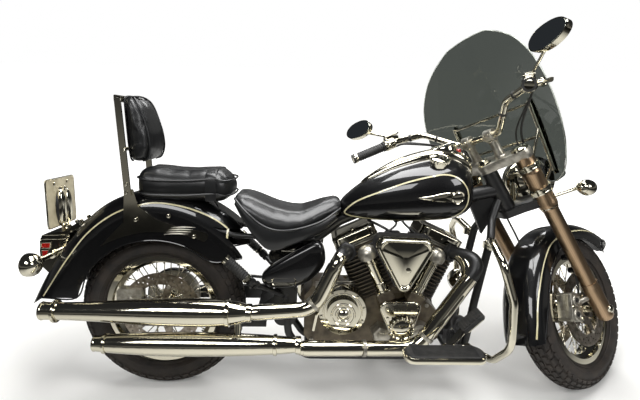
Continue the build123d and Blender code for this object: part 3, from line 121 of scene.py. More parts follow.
def noise(tree, place, size, detail=3.0, stretch=(1, 1, 1)):
    """Noise whose patches are about size metres, finer along an axis that is stretched more."""
    mapped = add_node(tree, "ShaderNodeMapping", inputs={"Vector": place, "Scale": stretch})
    return add_node(tree, "ShaderNodeTexNoise", inputs={
        "Vector": mapped.outputs["Vector"], "Scale": 1 / size, "Detail": detail}).outputs["Fac"]


def cells(tree, place, size):
    """The distance to the middle of cells that are about size metres across."""
    return add_node(tree, "ShaderNodeTexVoronoi", {"feature": "F1"},
                    {"Vector": place, "Scale": 1 / size}).outputs["Distance"]


def blend_colours(tree, shader, amount, low, high, start=0.35, end=0.65):
    """Colour the surface between two tones by a pattern."""
    ramp = add_node(tree, "ShaderNodeValToRGB", inputs={"Fac": amount})
    for element, position, code in zip(ramp.color_ramp.elements, (start, end), (low, high)):
        element.position = position
        element.color = hex_colour(code)
    tree.links.new(ramp.outputs["Color"], shader.inputs["Base Color"])
    return ramp


def vary_roughness(tree, shader, amount, low, high):
    """Let the gloss come and go with a pattern."""
    spread = add_node(tree, "ShaderNodeMapRange", inputs={"Value": amount, "To Min": low, "To Max": high})
    tree.links.new(spread.outputs["Result"], shader.inputs["Roughness"])


def raise_bumps(tree, shader, height, depth, strength=1.0):
    """Fine relief, from a pattern of a depth in metres."""
    bump = add_node(tree, "ShaderNodeBump", inputs={"Height": height, "Distance": depth, "Strength": strength})
    tree.links.new(bump.outputs["Normal"], shader.inputs["Normal"])


def noisy_material(name, slot_name, colour, metallic, roughness, tones=None, gloss=None, bumps=None, **sockets):
    """A material varied by noise: each entry is the noise's size and detail, then what it moves between.

    tones moves the colour, gloss the roughness, and bumps is a height in metres and its strength.
    """
    material, tree, shader, place = new_material(name, colour, metallic, roughness, **sockets)
    for apply, entry in ((blend_colours, tones), (vary_roughness, gloss), (raise_bumps, bumps)):
        if entry:
            apply(tree, shader, noise(tree, place, *entry[:2]), *entry[2:])
    return material, slot_name


def prism_lens(name, slot_name, colour, low, high, roughness, coat_roughness, depth, strength):
    """Moulded acrylic with a fine prism pattern behind it, clear-coated so that it glints."""
    material, tree, shader, place = new_material(
        name, colour, 0.0, roughness, Coat_Weight=1.0, Coat_Roughness=coat_roughness)
    prisms = cells(tree, place, 0.005)
    blend_colours(tree, shader, prisms, low, high, 0.1, 0.6)
    raise_bumps(tree, shader, prisms, depth, strength)
    return material, slot_name


def make_warm_alloy():
    """Clear-anodised fork tube: brushed along its length, warm champagne grey."""
    material, tree, shader, place = new_material("brushed_champagne_alloy", "#a48c70", 1.0, 0.3)
    fork_way = STEERED.to_3x3() @ UP_FORK
    upright = fork_way.rotation_difference(Vector((0, 0, 1))).to_euler()
    turned = add_node(tree, "ShaderNodeMapping", inputs={"Vector": place, "Rotation": upright}).outputs["Vector"]
    streaks = noise(tree, turned, 0.0025, 2.0, (1, 1, 0.01))
    blend_colours(tree, shader, streaks, "#8f775c", "#b59c80", 0.2, 0.8)
    vary_roughness(tree, shader, streaks, 0.24, 0.4)
    return material, "alloy"


def make_vinyl():
    """Black upholstery vinyl: a fine hide grain, drawn at 1.6 mm so that it shows, with a soft sheen."""
    material, tree, shader, place = new_material(
        "black_grained_vinyl", "#0c0d0e", 0.0, 0.4, Specular_IOR_Level=0.4, Coat_Weight=0.3,
        Coat_Roughness=0.22)
    vary_roughness(tree, shader, noise(tree, place, 0.05, 4.0), 0.3, 0.48)
    raise_bumps(tree, shader, cells(tree, place, 0.0016), 0.0003, 0.5)
    return material, "seat_vinyl"


def make_clear_glass():
    """Pressed lamp glass: clear, with upright flutes that break up the bowl behind it."""
    material, tree, shader, place = new_material(
        "lamp_glass", "#f2f6f8", 0.0, 0.03, Transmission_Weight=1.0, IOR=1.45)
    flutes = add_node(tree, "ShaderNodeTexWave", {"bands_direction": "X"}, {"Vector": place, "Scale": 60.0})
    raise_bumps(tree, shader, flutes.outputs["Fac"], 0.0004, 0.4)
    return material, "lamp"


# the sunk field of a blank badge: a dull olive black
dark_badge = noisy_material("olive_black_enamel", "black_paint", "#26261c", 0.0, 0.3,
    (0.01, 3.0, "#1e1e17", "#333222"))
# silvered flat glass: a colder, cleaner mirror than chrome
mirror_glass = noisy_material("silvered_mirror_glass", "chrome", "#d9e2e6", 1.0, 0.02,
    gloss=(0.04, 3.0, 0.015, 0.04))
# the polished edge of the acrylic sheet, painted pale as a highlight where it would gather light
screen_edge = noisy_material("acrylic_edge_painted_highlight", "screen", "#b9bdb6", 0.0, 0.25,
    (0.05, 3.0, "#a2a69f", "#ccd0c8"), Coat_Weight=0.6)
amber_lens = prism_lens("amber_lens_acrylic", "lamp", "#d9862a", "#b8641a", "#eaa24c", 0.1, 0.03, 0.0005, 0.4)
# deep black with a hard gloss and a very faint orange peel
enamel = noisy_material("black_enamel_clear_coat", "black_paint", "#060607", 0.0, 0.4,
    bumps=(0.004, 1.0, 0.00003, 0.35), Specular_IOR_Level=0.15, Coat_Weight=1.0, Coat_Roughness=0.03)
# powder-coated steel: semi-gloss black with a fine texture
frame_black = noisy_material("black_powder_coat", "frame_paint", "#131313", 0.0, 0.38,
    gloss=(0.03, 3.0, 0.3, 0.5), bumps=(0.0015, 1.0, 0.00008, 0.4))
# a sharp mirror with faint wipe marks in its polish
chrome = noisy_material("polished_chrome_plate", "chrome", "#cdc8b6", 1.0, 0.06, gloss=(0.05, 4.0, 0.04, 0.13),
    bumps=(0.09, 1.0, 0.0006, 0.12))
warm_alloy = make_warm_alloy()
# cast alloy under satin engine paint: a warm brown grey, a little sandy, dulled in patches
engine_paint = noisy_material("satin_engine_paint", "engine_silver", "#5a5142", 0.35, 0.45,
    (0.04, 5.0, "#41392e", "#6e6452", 0.3, 0.7), (0.04, 5.0, 0.38, 0.6), (0.0018, 2.0, 0.00025, 0.5))
# black-painted cooling fins with a dusty brown cast
fin_paint = noisy_material("dark_fin_paint", "engine_silver", "#2a2722", 0.2, 0.5,
    (0.03, 5.0, "#1d1b18", "#3a352d"))
# machined and cast alloy: pale satin grey
cast_alloy = noisy_material("satin_cast_alloy", "alloy", "#a6a299", 0.85, 0.34,
    (0.02, 4.0, "#8d897f", "#b5b1a6"), (0.02, 4.0, 0.26, 0.45))
engine_alloy = (cast_alloy[0], "engine_silver")      # the same alloy where it is part of the engine
# ground stainless disc: grey brown, its grind dulled in patches by the pads
disc_steel = noisy_material("ground_disc_steel", "steel", "#8b8276", 1.0, 0.3,
    (0.015, 4.0, "#6f675c", "#9c9386"), (0.015, 4.0, 0.22, 0.42))
# very dark brown with dust in its sidewall
tyre_rubber = noisy_material("road_tyre_rubber", "tyre", "#211d19", 0.0, 0.72,
    (0.05, 6.0, "#1a1714", "#332b24", 0.3, 0.75), bumps=(0.003, 2.0, 0.0003, 0.5))
# moulded black rubber: matt, a shade grey where boots rub it
moulded_rubber = noisy_material("moulded_rubber", "rubber", "#1b1a19", 0.0, 0.6,
    (0.02, 4.0, "#141414", "#2a2927"))
vinyl = make_vinyl()
# acrylic sheet tinted dark as a painted reflection of the dark surroundings that a clear screen shows: it takes more
# than half the light that comes through
screen_darkened_as_reflection = noisy_material("acrylic_darkened_as_painted_reflection", "screen", "#4c504c", 0.0, 0.02, Transmission_Weight=1.0, IOR=1.3)
lamp_glass = make_clear_glass()
red_lens = prism_lens("red_lens_acrylic", "lens_red", "#8e1410", "#5c0b0a", "#b0201a", 0.08, 0.02, 0.0006, 0.5)
# cream enamel lines, glossy and faintly uneven
cream_paint = noisy_material("cream_pinstripe_enamel", "black_paint", "#cfc7a0", 0.0, 0.3,
    (0.03, 3.0, "#c4bb92", "#d8d1ae"), Coat_Weight=1.0, Coat_Roughness=0.05)
# a blank painted plate, cream white and a little soiled
plate_white = noisy_material("blank_plate_enamel", "plate", "#b5ab8f", 0.0, 0.35,
    (0.06, 5.0, "#a3997e", "#c2b99e"))
# textured housings: near black, with a fine moulded grain
black_plastic = noisy_material("moulded_black_plastic", "black_plastic", "#161617", 0.0, 0.42,
    bumps=(0.0012, 1.0, 0.0001, 0.4))
# printed dial: pale warm grey
dial_face = noisy_material("printed_dial_face", "lamp", "#d8d5c8", 0.0, 0.4, (0.02, 2.0, "#cfccbf", "#dedbcf"))

CAD_FINISH = {
    frame_black: ["frame", "swingarm", "footrest_brackets", "lower_yoke"],
    chrome: [
        "rear_axle", "front_axle", "rear_rim", "front_rim", "rear_hub", "front_hub", "engine_covers", "rocker_covers",
        "air_cleaner", "exhaust_pipes", "mufflers", "tank_console", "filler_cap", "backrest_bar", "foot_pedals",
        "crash_bars", "upper_yoke", "handlebar", "hand_levers", "mirrors", "windshield_brackets", "headlight",
        "front_indicators", "tail_light", "rear_indicators", "side_stand"],
    engine_paint: ["crankcase", "cylinders", "pushrod_covers"],
    warm_alloy: ["fork_covers", "fork_sliders"],
    cast_alloy: ["rear_pulley", "front_calipers", "rear_caliper"],
    disc_steel: ["front_discs", "rear_disc"],
    tyre_rubber: ["front_tyre", "rear_tyre"],
    moulded_rubber: ["drive_belt", "grips", "left_footboard", "right_footboard", "left_peg", "right_peg"],
    enamel: ["fuel_tank", "rear_fender", "front_fender", "side_covers"],
    vinyl: ["rider_seat", "passenger_seat", "backrest_pad"],
    # the windshield's dark tint is a painted reflection, not a smoked sheet
    screen_darkened_as_reflection: ["windshield"],
    plate_white: ["licence_plate"],
    black_plastic: ["carburettor"],
}
for (material, _), names in CAD_FINISH.items():
    for name in names:
        nodes[name].data.materials.clear()
        nodes[name].data.materials.append(material)


# ---------------------------------------------------------------- drawing shapes
def rounded_path(points, bend):
    """Straight runs joined by arcs, as points close enough together to look round."""
    points = [Vector(point) for point in points]
    path = [points[0]]
    for before, corner, after in zip(points, points[1:], points[2:]):
        back = (before - corner).normalized()
        on = (after - corner).normalized()
        turn = pi - back.angle(on)
        if turn < 0.02:
            path.append(corner)
            continue
        reach = min(bend * sin(turn / 2) / cos(turn / 2),
            0.49 * min((before - corner).length, (after - corner).length))
        steps = max(2, int(turn / 0.14))
        for step in range(steps + 1):
            share = step / steps
            start = corner + back * reach
            end = corner + on * reach
            path.append(start * (1 - share) ** 2 + corner * 2 * share * (1 - share) + end * share ** 2)
    path.append(points[-1])
    return path


def smooth_path(points, closed=False, steps=6):
    """A smooth curve through the points."""
    points = [Vector(point) for point in points]
    count = len(points)
    path = []
    for index in range(count if closed else count - 1):
        if closed:
            a, b, c, d = (points[(index + shift) % count] for shift in (-1, 0, 1, 2))
        else:
            b, c = points[index], points[index + 1]
            a = points[index - 1] if index else b * 2 - c
            d = points[index + 2] if index + 2 < count else c * 2 - b
        for step in range(steps):
            t = step / steps
            path.append(0.5 * (2 * b + (c - a) * t + (2 * a - 5 * b + 4 * c - d) * t ** 2
                               + (3 * b - a - 3 * c + d) * t ** 3))
    if not closed:
        path.append(points[-1])
    return path


def at_share(path, share):
    """The point a share of the way along a path, and where the path is heading."""
    lengths = [(b - a).length for a, b in zip(path, path[1:])]
    wanted = share * sum(lengths)
    for a, b, length in zip(path, path[1:], lengths):
        if wanted <= length or b is path[-1]:
            return a.lerp(b, min(1.0, wanted / max(length, 1e-9))), (b - a).normalized()
        wanted -= length


class Shape:
    """A mesh being drawn, in millimetres on the upright machine."""

    def __init__(self):
        self.verts = []
        self.faces = []

    def skin(self, rings, around=True, capped=True, looped=False):
        """Faces between rings of equally many points."""
        start = len(self.verts)
        count = len(rings[0])
        for ring in rings:
            self.verts.extend(Vector(point) for point in ring)
        for row in range(len(rings) if looped else len(rings) - 1):
            a = start + row * count
            b = start + (row + 1) % len(rings) * count
            for i in range(count if around else count - 1):
                j = (i + 1) % count
                self.faces.append((a + i, a + j, b + j, b + i))
        if capped and around and not looped:
            self.faces.append(tuple(start + i for i in reversed(range(count))))
            self.faces.append(tuple(start + (len(rings) - 1) * count + i for i in range(count)))
        return self

    def turned(self, centre, axis, profile, sides=48, looped=False, first=0.0, last=2 * pi):
        """A profile of (along, radius) turned about an axis, all round or through part of a turn."""
        centre, axis = Vector(centre), Vector(axis).normalized()
        side = axis.orthogonal().normalized()
        up = axis.cross(side)
        whole = last - first > 6.28
        turns = [first + (last - first) * step / sides for step in range(sides if whole else sides + 1)]
        rings = []
        for along, radius in profile:
            radius = max(radius, 0.02)
            rings.append([centre + axis * along + (side * cos(t) + up * sin(t)) * radius for t in turns])
        return self.skin(rings, whole, whole, looped)

    def swept(self, path, radius, sides=14, capped=True, squash=1.0):
        """A round bar along a path. Its radius is a number or a function of the share travelled."""
        path = [Vector(point) for point in path]
        heading = (path[1] - path[0]).normalized()
        side = heading.orthogonal().normalized()
        rings = []
        for index, point in enumerate(path):
            before = path[max(index - 1, 0)]
            after = path[min(index + 1, len(path) - 1)]
            new_heading = (after - before).normalized()
            side = (heading.rotation_difference(new_heading) @ side).normalized()
            heading = new_heading
            up = heading.cross(side)
            r = radius(index / (len(path) - 1)) if callable(radius) else radius
            rings.append([point + (side * cos(2 * pi * k / sides) + up * sin(2 * pi * k / sides) * squash) * r
                          for k in range(sides)])
        return self.skin(rings, capped=capped)

    def slab(self, outline, origin, x_way, y_way, thickness):
        """A flat plate: its outline in two directions, and its thickness along their cross product."""
        origin, x_way, y_way = Vector(origin), Vector(x_way).normalized(), Vector(y_way).normalized()
        depth = x_way.cross(y_way) * thickness
        ring = [origin + x_way * x + y_way * y for x, y, *_ in outline]
        return self.skin([ring, [point + depth for point in ring]])

    def domed(self, outline, centre, out_way, profile):
        """Rings of an outline drawn in towards its centre, each a share of full size and a distance out."""
        centre, out_way = Vector(centre), Vector(out_way)
        rings = [[centre + (Vector(point) - centre) * max(share, 0.001) + out_way * out for point in outline]
                 for share, out in profile]
        return self.skin(rings)

    def block(self, centre, size, x_way=(1, 0, 0), y_way=(0, 1, 0)):
        x, y, z = (value / 2 for value in size)
        x_way, y_way = Vector(x_way).normalized(), Vector(y_way).normalized()
        up = x_way.cross(y_way)
        origin = Vector(centre) - up * z
        return self.slab([(-x, -y), (x, -y), (x, y), (-x, y)], origin, x_way, y_way, size[2])

    def mesh(self, name, matrix):
        mesh = bpy.data.meshes.new(name)
        mesh.from_pydata(self.verts, [], self.faces)
        solid = bmesh.new()
        solid.from_mesh(mesh)
        bmesh.ops.remove_doubles(solid, verts=solid.verts, dist=0.01)
        bmesh.ops.recalc_face_normals(solid, faces=solid.faces)
        solid.to_mesh(mesh)
        solid.free()
        mesh.transform(matrix)
        return mesh

    def surface(self):
        """Something to cast rays at, to lay stripes on."""
        return BVHTree.FromPolygons(self.verts, self.faces)

    def piece(self, name, body, finish, replaces=(), **edges):
        """Finish the shape as a named piece that rides on a body."""
        return finish_piece(self.mesh(name, place_for(body)), name, body, finish, replaces, **edges)


def new_object(name, data):
    made = bpy.data.objects.new(name, data)
    bpy.context.scene.collection.objects.link(made)
    return made


def finish_piece(mesh, name, body, finish, replaces=(), bevel=0.0, subdivide=0, sharp=35, wall=0.0):
    """Shade a mesh and hand it to the frame: bevel and wall in millimetres, sharp in degrees."""
    material, slot_name = finish
    mesh.shade_smooth()
    if not subdivide:
        mesh.set_sharp_from_angle(angle=radians(sharp))
    mesh.materials.clear()
    mesh.materials.append(material)
    piece = new_object(name, mesh)
    if wall:
        solidify = piece.modifiers.new("wall", "SOLIDIFY")
        solidify.thickness = wall * 0.001
        solidify.offset = -1.0
    if bevel:
        edge = piece.modifiers.new("edge", "BEVEL")
        edge.width = bevel * 0.001
        edge.segments = 2
        edge.limit_method = "ANGLE"
        edge.angle_limit = radians(40)
        edge.harden_normals = True
    if subdivide:
        rounder = piece.modifiers.new("round", "SUBSURF")
        rounder.levels = rounder.render_levels = subdivide
    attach(piece, body)
    if replaces:
        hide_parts(*replaces)
    return piece


# ---------------------------------------------------------------- repeated things, by Geometry Nodes
def new_tree(name, sockets):
    tree = bpy.data.node_groups.new(name, "GeometryNodeTree")
    for title, kind in sockets:
        tree.interface.new_socket(title, in_out="INPUT", socket_type=kind)
    tree.interface.new_socket("Geometry", in_out="OUTPUT", socket_type="NodeSocketGeometry")
    return tree, add_node(tree, "NodeGroupInput").outputs


def close_tree(tree, given, points, **placing):
    """Put the item on the points, make the copies real, give them their material and send them out."""
    item = add_node(tree, "GeometryNodeObjectInfo", inputs={"Object": given["Item"]})
    copies = add_node(tree, "GeometryNodeInstanceOnPoints", inputs={
        "Points": points, "Instance": item.outputs["Geometry"], **placing})
    real = add_node(tree, "GeometryNodeRealizeInstances", inputs={"Geometry": copies.outputs[0]})
    dressed = add_node(tree, "GeometryNodeSetMaterial", inputs={
        "Geometry": real.outputs[0], "Material": given["Material"]})
    add_node(tree, "NodeGroupOutput", inputs={"Geometry": dressed.outputs[0]})
    return tree


def counted_points(tree, given, direction, distance):
    """As many points as asked for, each at a direction times a distance."""
    points = add_node(tree, "GeometryNodePoints", inputs={"Count": given["Count"]})
    spot = add_node(tree, "ShaderNodeVectorMath", {"operation": "SCALE"}, {0: direction, "Scale": distance})
    return add_node(tree, "GeometryNodeSetPosition", inputs={
        "Geometry": points.outputs[0], "Position": spot.outputs[0]}).outputs[0]


def ring_tree():
    """Copies of an item in a ring about Z, each turned to face outward along its own X."""
    tree, given = new_tree("ring_of_items", [
        ("Item", "NodeSocketObject"), ("Count", "NodeSocketInt"), ("Radius", "NodeSocketFloat"),
        ("First Turn", "NodeSocketFloat"), ("Material", "NodeSocketMaterial")])

    def maths(operation, *values):
        return add_node(tree, "ShaderNodeMath", {"operation": operation}, dict(enumerate(values))).outputs[0]

    share = maths("DIVIDE", add_node(tree, "GeometryNodeInputIndex").outputs[0], given["Count"])
    turn = maths("MULTIPLY_ADD", share, 2 * pi, given["First Turn"])
    way = add_node(tree, "ShaderNodeCombineXYZ", inputs={"X": maths("COSINE", turn), "Y": maths("SINE", turn)})
    rotation = add_node(tree, "ShaderNodeCombineXYZ", inputs={"Z": turn}).outputs[0]
    return close_tree(tree, given, counted_points(tree, given, way.outputs[0], given["Radius"]), Rotation=rotation)


def row_tree():
    """Copies of an item in a row, each one step on from the last."""
    tree, given = new_tree("row_of_items", [
        ("Item", "NodeSocketObject"), ("Count", "NodeSocketInt"), ("Step", "NodeSocketVector"),
        ("Material", "NodeSocketMaterial")])
    index = add_node(tree, "GeometryNodeInputIndex").outputs[0]
    return close_tree(tree, given, counted_points(tree, given, given["Step"], index))


def spots_tree():
    """A copy of an item at each of the mesh's points, its Z along the point's facing vector."""
    tree, given = new_tree("items_at_spots", [
        ("Spots", "NodeSocketGeometry"), ("Item", "NodeSocketObject"), ("Material", "NodeSocketMaterial")])
    facing = add_node(tree, "GeometryNodeInputNamedAttribute", {"data_type": "FLOAT_VECTOR"}, {"Name": "facing"})
    turn = add_node(tree, "FunctionNodeAlignRotationToVector", {"axis": "Z"}, {"Vector": facing.outputs["Attribute"]})
    return close_tree(tree, given, given["Spots"], Rotation=turn.outputs[0])


RING = ring_tree()
ROW = row_tree()
SPOTS = spots_tree()


def grown(name, tree, item, values, body, finish, matrix=Matrix.Identity(4), spots=(), sharp=35):
    """Run a tree on an item drawn in millimetres, and keep the result as a plain mesh piece."""
    template = new_object("template", item.mesh("template", Matrix.Identity(4)))
    points = bpy.data.meshes.new("points")
    if spots:
        points.from_pydata([spot for spot, way in spots], [], [])
        facing = points.attributes.new("facing", "FLOAT_VECTOR", "POINT")
        for entry, (spot, way) in zip(facing.data, spots):
            entry.vector = Vector(way).normalized()
    holder = new_object("holder", points)
    modifier = holder.modifiers.new("repeat", "NODES")
    modifier.node_group = tree
    values = {**values, "Item": template, "Material": finish[0]}
    for socket in tree.interface.items_tree:
        if socket.name in values:
            modifier[socket.identifier] = values[socket.name]
    bpy.context.view_layer.update()
    ready = holder.evaluated_get(bpy.context.evaluated_depsgraph_get())
    mesh = bpy.data.meshes.new_from_object(ready)
    bpy.data.objects.remove(holder)
    bpy.data.objects.remove(template)
    mesh.transform(place_for(body) @ matrix)
    mesh.name = name
    return finish_piece(mesh, name, body, finish, sharp=sharp)


def ring_of(name, item, count, radius, first_turn, body, finish, matrix, **shading):
    """Items round a circle: its radius in millimetres, and the angle of the first."""
    values = {"Count": count, "Radius": radius, "First Turn": first_turn}
    return grown(name, RING, item, values, body, finish, matrix, **shading)


def row_of(name, item, count, step, body, finish, matrix, **shading):
    return grown(name, ROW, item, {"Count": count, "Step": Vector(step)}, body, finish, matrix, **shading)


def bolts(name, head, body, finish, spots):
    """A bolt at each place, its axis along the direction given with the place."""
    return grown(name, SPOTS, head, {}, body, finish, spots=spots)


def turns(count):
    """The angles of points spread evenly round a circle."""
    return [2 * pi * step / count for step in range(count)]


def bowed(value, power):
    """A number between -1 and 1 raised to a power with its sign kept, which squares up a circle."""
    return abs(value) ** power * (1 if value >= 0 else -1)


def axes_at(origin, x_way, y_way):
    """A matrix that stands a drawing's X and Y along two directions at a point."""
    x_way, y_way = Vector(x_way).normalized(), Vector(y_way).normalized()
    return Matrix.Translation(Vector(origin)) @ Matrix((x_way, y_way, x_way.cross(y_way))).transposed().to_4x4()


def rounded_rectangle(half_x, half_y, corner, steps=5):
    """A flat outline with rounded corners, about its middle."""
    outline = []
    for quarter in range(4):
        x = (half_x - corner) * (1 if quarter in (0, 3) else -1)
        y = (half_y - corner) * (1 if quarter in (0, 1) else -1)
        for step in range(steps):
            turn = pi / 2 * (quarter + step / (steps - 1))
            outline.append((x + corner * cos(turn), y + corner * sin(turn)))
    return outline


def bolt(radius=5.0, height=4.0, sides=6):
    """A bolt head standing on its washer, its axis up Z."""
    head = Shape()
    head.turned((0, 0, 0), (0, 0, 1), [(-1, radius * 1.35), (1, radius * 1.35), (1, radius)], 12)
    head.turned((0, 0, 0), (0, 0, 1), [(0.5, radius), (height - 0.8, radius), (height, radius * 0.8)], sides)
    return head


def stripe(surface, outline, side, width, lift=0.5):
    """A painted line laid on a surface: the outline is drawn from the side and cast on to it."""
    shape = Shape()
    left, right = [], []
    for index, point in enumerate(outline):
        before = outline[max(index - 1, 0)]
        after = outline[min(index + 1, len(outline) - 1)]
        way = Vector((after[0] - before[0], after[1] - before[1])).normalized()
        edges = []
        for across in (width / 2, -width / 2):
            start = Vector((point[0] - way.y * across, side * 600, point[1] + way.x * across))
            spot, normal, _, _ = surface.ray_cast(start, Vector((0, -side, 0)))
            if spot is None:
                spot, normal = surface.find_nearest(Vector((start.x, side * 120, start.z)))[:2]
            outward = normal if normal.y * side > 0 else -normal
            edges.append(spot + outward * lift)
        left.append(edges[0])
        right.append(edges[1])
    return shape.skin([left, right], around=False, capped=False)


# ---------------------------------------------------------------- wheels
DISC_FACE = 63.2        # out from the wheel's middle, and a hair off the disc
SPOKE_CIRCLE = 187.0    # the rim's inner wall, where the nipples stand


def dress_wheel(name, body, centre, radius, width, tread_rows, pitches, disc_sides):
    """Moulded tread, sidewall rings, hub plates, spoke nipples and disc hardware of one wheel."""
    ring = radius - width / 2
    carcass = Shape()
    profile = [(-46, 205), (-47, 220)]
    for step in range(25):
        turn = radians(-96 + 8 * step)
        swell = width / 2 - 5.5 - (1.2 if step in (3, 21) else 0.0)
        reach = ring + cos(turn) * swell if abs(turn) < pi / 2 else ring - 8 * abs(sin(turn))
        profile.append((sin(turn) * swell, reach))
    profile += [(47, 220), (46, 205), (0, 204)]
    rim_half = 46 if width > 140 else 39
    profile = [(along * rim_half / 46 if reach < 221 else along, reach) for along, reach in profile]
    carcass.turned(centre, (0, 1, 0), profile, 96, looped=True)
    for side in (1, -1):
        for swell, reach in ((width / 2 - 7.5, ring - 6), (width / 2 - 14, ring - 24)):
            band = [(side * swell, reach - 2.5), (side * (swell + 2.4), reach - 1), (side * (swell + 2.4), reach + 1),
                    (side * swell, reach + 2.5)]
            carcass.turned(centre, (0, 1, 0), band, 96, looped=True)
    carcass.piece(name + "_carcass", body, tyre_rubber, [name + "_tyre"])

    # a block of tread for each row across the crown, its top following the tyre's round section
    wheel = axes_at(centre, (1, 0, 0), (0, 0, -1))
    for row, (lean, wide, long, slant) in enumerate(tread_rows):
        for side in ((1, -1) if lean else (1,)):
            block = Shape()
            rings = []
            for reach, grow in ((width / 2 - 7.5, 1.0), (width / 2 - 0.8, 0.94), (width / 2, 0.86)):
                edge = []
                for across, along in ((-0.5, -0.5), (-0.1, -0.62), (0.5, -0.5), (0.5, 0.42), (0.1, 0.5),
                                      (-0.5, 0.42)):
                    angle = radians(side * (lean + across * wide * grow))
                    forward = long * grow * along + slant * across * wide * side * 0.4
                    rise = ring + reach * cos(angle)
                    edge.append((rise, forward, -reach * sin(angle)))
                rings.append(edge)
            block.skin(rings)
            ring_of(f"{name}_tread_{row}{'ab'[side < 0]}", block, pitches, 0.0,
                    (0.5 * row + 0.25 * (side < 0)) * 2 * pi / pitches, body, tyre_rubber, wheel, sharp=25)

    # spoke nipples on the rim, and the hub's bolted plates
    nipple = Shape().turned((0, 0, 0), (-1, 0, 0), [(-3, 3.4), (5, 3.4), (11, 2.4)], 8)
    for side in (1, -1):
        ring_of(f"{name}_nipples_{'ab'[side < 0]}", nipple, 20, SPOKE_CIRCLE, 0.0, body, chrome,
                axes_at(centre + Vector((0, side * 9, 0)), (1, 0, 0), (0, 0, -1)))
    hardware = bolt(4.5, 5.0)
    for side in disc_sides:
        face = centre + Vector((0, side * DISC_FACE, 0))
        up_side = axes_at(face, (1, 0, 0), (0, 0, -side))
        ring_of(f"{name}_disc_bolts_{'ab'[side < 0]}", hardware, 5, 51.0, 0.3, body, chrome, up_side)
        button = Shape().turned((0, 0, 0), (0, 0, 1), [(-1, 8), (2.2, 8), (3.2, 6.4), (3.2, 3), (1.5, 2.6)], 16)
        ring_of(f"{name}_disc_buttons_{'ab'[side < 0]}", button, 5, 100.0 if disc_sides == (1, -1) else 104.0,
                0.0, body, cast_alloy, up_side)


dress_wheel("front", "front_wheel", FRONT_HUB, 320.0, 130.0,
            [(0, 15, 24, 0.6), (21, 15, 27, -0.7), (42, 15, 30, 0.7), (61, 12, 26, 0.2)], 52, (1, -1))
dress_wheel("rear", "rear_wheel", REAR_HUB, 323.0, 150.0,
            [(0, 15, 24, 0.6), (20, 14, 27, -0.7), (39, 14, 30, 0.7), (57, 13, 27, 0.2)], 52, (-1,))

# hub caps over the axle ends
for name, body, centre, out in (("front_axle_caps", "steering", FRONT_HUB, 168),
                                ("rear_axle_caps", "chassis", REAR_HUB, 158)):
    caps = Shape()
    for side in (1, -1):
        reach = out if side > 0 or body == "steering" else out - 2      # the rear axle's right end is shorter
        caps.turned(centre, (0, side, 0), [(reach - 14, 16), (reach - 2, 15), (reach + 2, 9), (reach + 3, 0)], 24)
    caps.piece(name, body, chrome, bevel=0.6)


# ---------------------------------------------------------------- surfaces to lay trim on
def surface_of(node, body):
    """A CAD node's surface, on the upright machine in millimetres."""
    back = place_for(body).inverted()
    mesh = nodes[node].data
    return BVHTree.FromPolygons([back @ v.co for v in mesh.vertices], [tuple(p.vertices) for p in mesh.polygons])


def both_sides(shape_for_side):
    """One shape holding what the function draws for the left and for the right."""
    shape = Shape()
    for side in (1, -1):
        shape_for_side(shape, side)
    return shape


# ---------------------------------------------------------------- tank
TANK_STATIONS = [
    # x, half width, widest at, bottom, top
    (692, 34, 735, 716, 756), (704, 50, 742, 708, 776), (730, 68, 750, 702, 800), (770, 90, 762, 699, 833),
    (820, 111, 775, 697, 866), (880, 130, 788, 697, 897), (950, 144, 800, 699, 924), (1020, 150, 808, 702, 944),
    (1085, 149, 812, 706, 952), (1130, 141, 812, 714, 944), (1165, 124, 810, 730, 924), (1186, 98, 806, 752, 898),
    (1196, 66, 802, 778, 866), (1198, 30, 800, 794, 830),
]
tank = Shape()
tank_rings = []
for x, half, middle, low, high in TANK_STATIONS:
    ring = []
    for turn in turns(40):
        reach, power = (high - middle, 0.86) if sin(turn) >= 0 else (middle - low, 0.6)
        ring.append((x, half * bowed(cos(turn), power), middle + reach * bowed(sin(turn), power)))
    tank_rings.append(ring)
tank.skin(tank_rings)
tank_surface = tank.surface()
tank.piece("tank_shell", "chassis", enamel, ["fuel_tank"], subdivide=1)

TANK_LINE = smooth_path([(712, 0, 735), (757, 0, 778), (847, 0, 822), (937, 0, 858), (1020, 0, 880),
    (1075, 0, 886), (1122, 0, 868), (1154, 0, 822), (1147, 0, 766), (1090, 0, 724), (985, 0, 712),
    (874, 0, 710), (770, 0, 714), (722, 0, 720)], closed=True, steps=8)
TANK_LINE.append(TANK_LINE[0])
for side, letter in ((1, "l"), (-1, "r")):
    stripe(tank_surface, [(p.x, p.z) for p in TANK_LINE], side, 5.0, 1.2).piece(
        "tank_stripe_" + letter, "chassis", cream_paint)


def tank_badge(shape, side):
    """A blank cast wing with a roundel, bedded on the tank."""
    outline = smooth_path([(968, 0, 802), (1010, 0, 810), (1060, 0, 822), (1112, 0, 824), (1134, 0, 806),
                           (1112, 0, 790), (1060, 0, 790), (1010, 0, 794)], closed=True, steps=5)
    rings = []
    for share, lift in ((1.02, -1.0), (1.0, 3.2), (0.9, 4.4), (0.55, 4.6), (0.02, 4.8)):
        ring = []
        for point in outline:
            x, z = 1060 + (point.x - 1060) * share, 806 + (point.z - 806) * share
            spot, normal, _, _ = tank_surface.ray_cast(Vector((x, side * 400, z)), Vector((0, -side, 0)))
            ring.append(spot + (normal if normal.y * side > 0 else -normal) * lift)
        rings.append(ring)
    shape.skin(rings)
    spot, normal, _, _ = tank_surface.ray_cast(Vector((1112, side * 400, 806)), Vector((0, -side, 0)))
    normal = normal if normal.y * side > 0 else -normal
    shape.turned(spot, normal, [(0, 25), (6.5, 25), (8, 23), (7, 20), (6, 19), (7.5, 14), (8.5, 4), (8.5, 0)], 40)


both_sides(tank_badge).piece("tank_badges", "chassis", chrome, sharp=30)

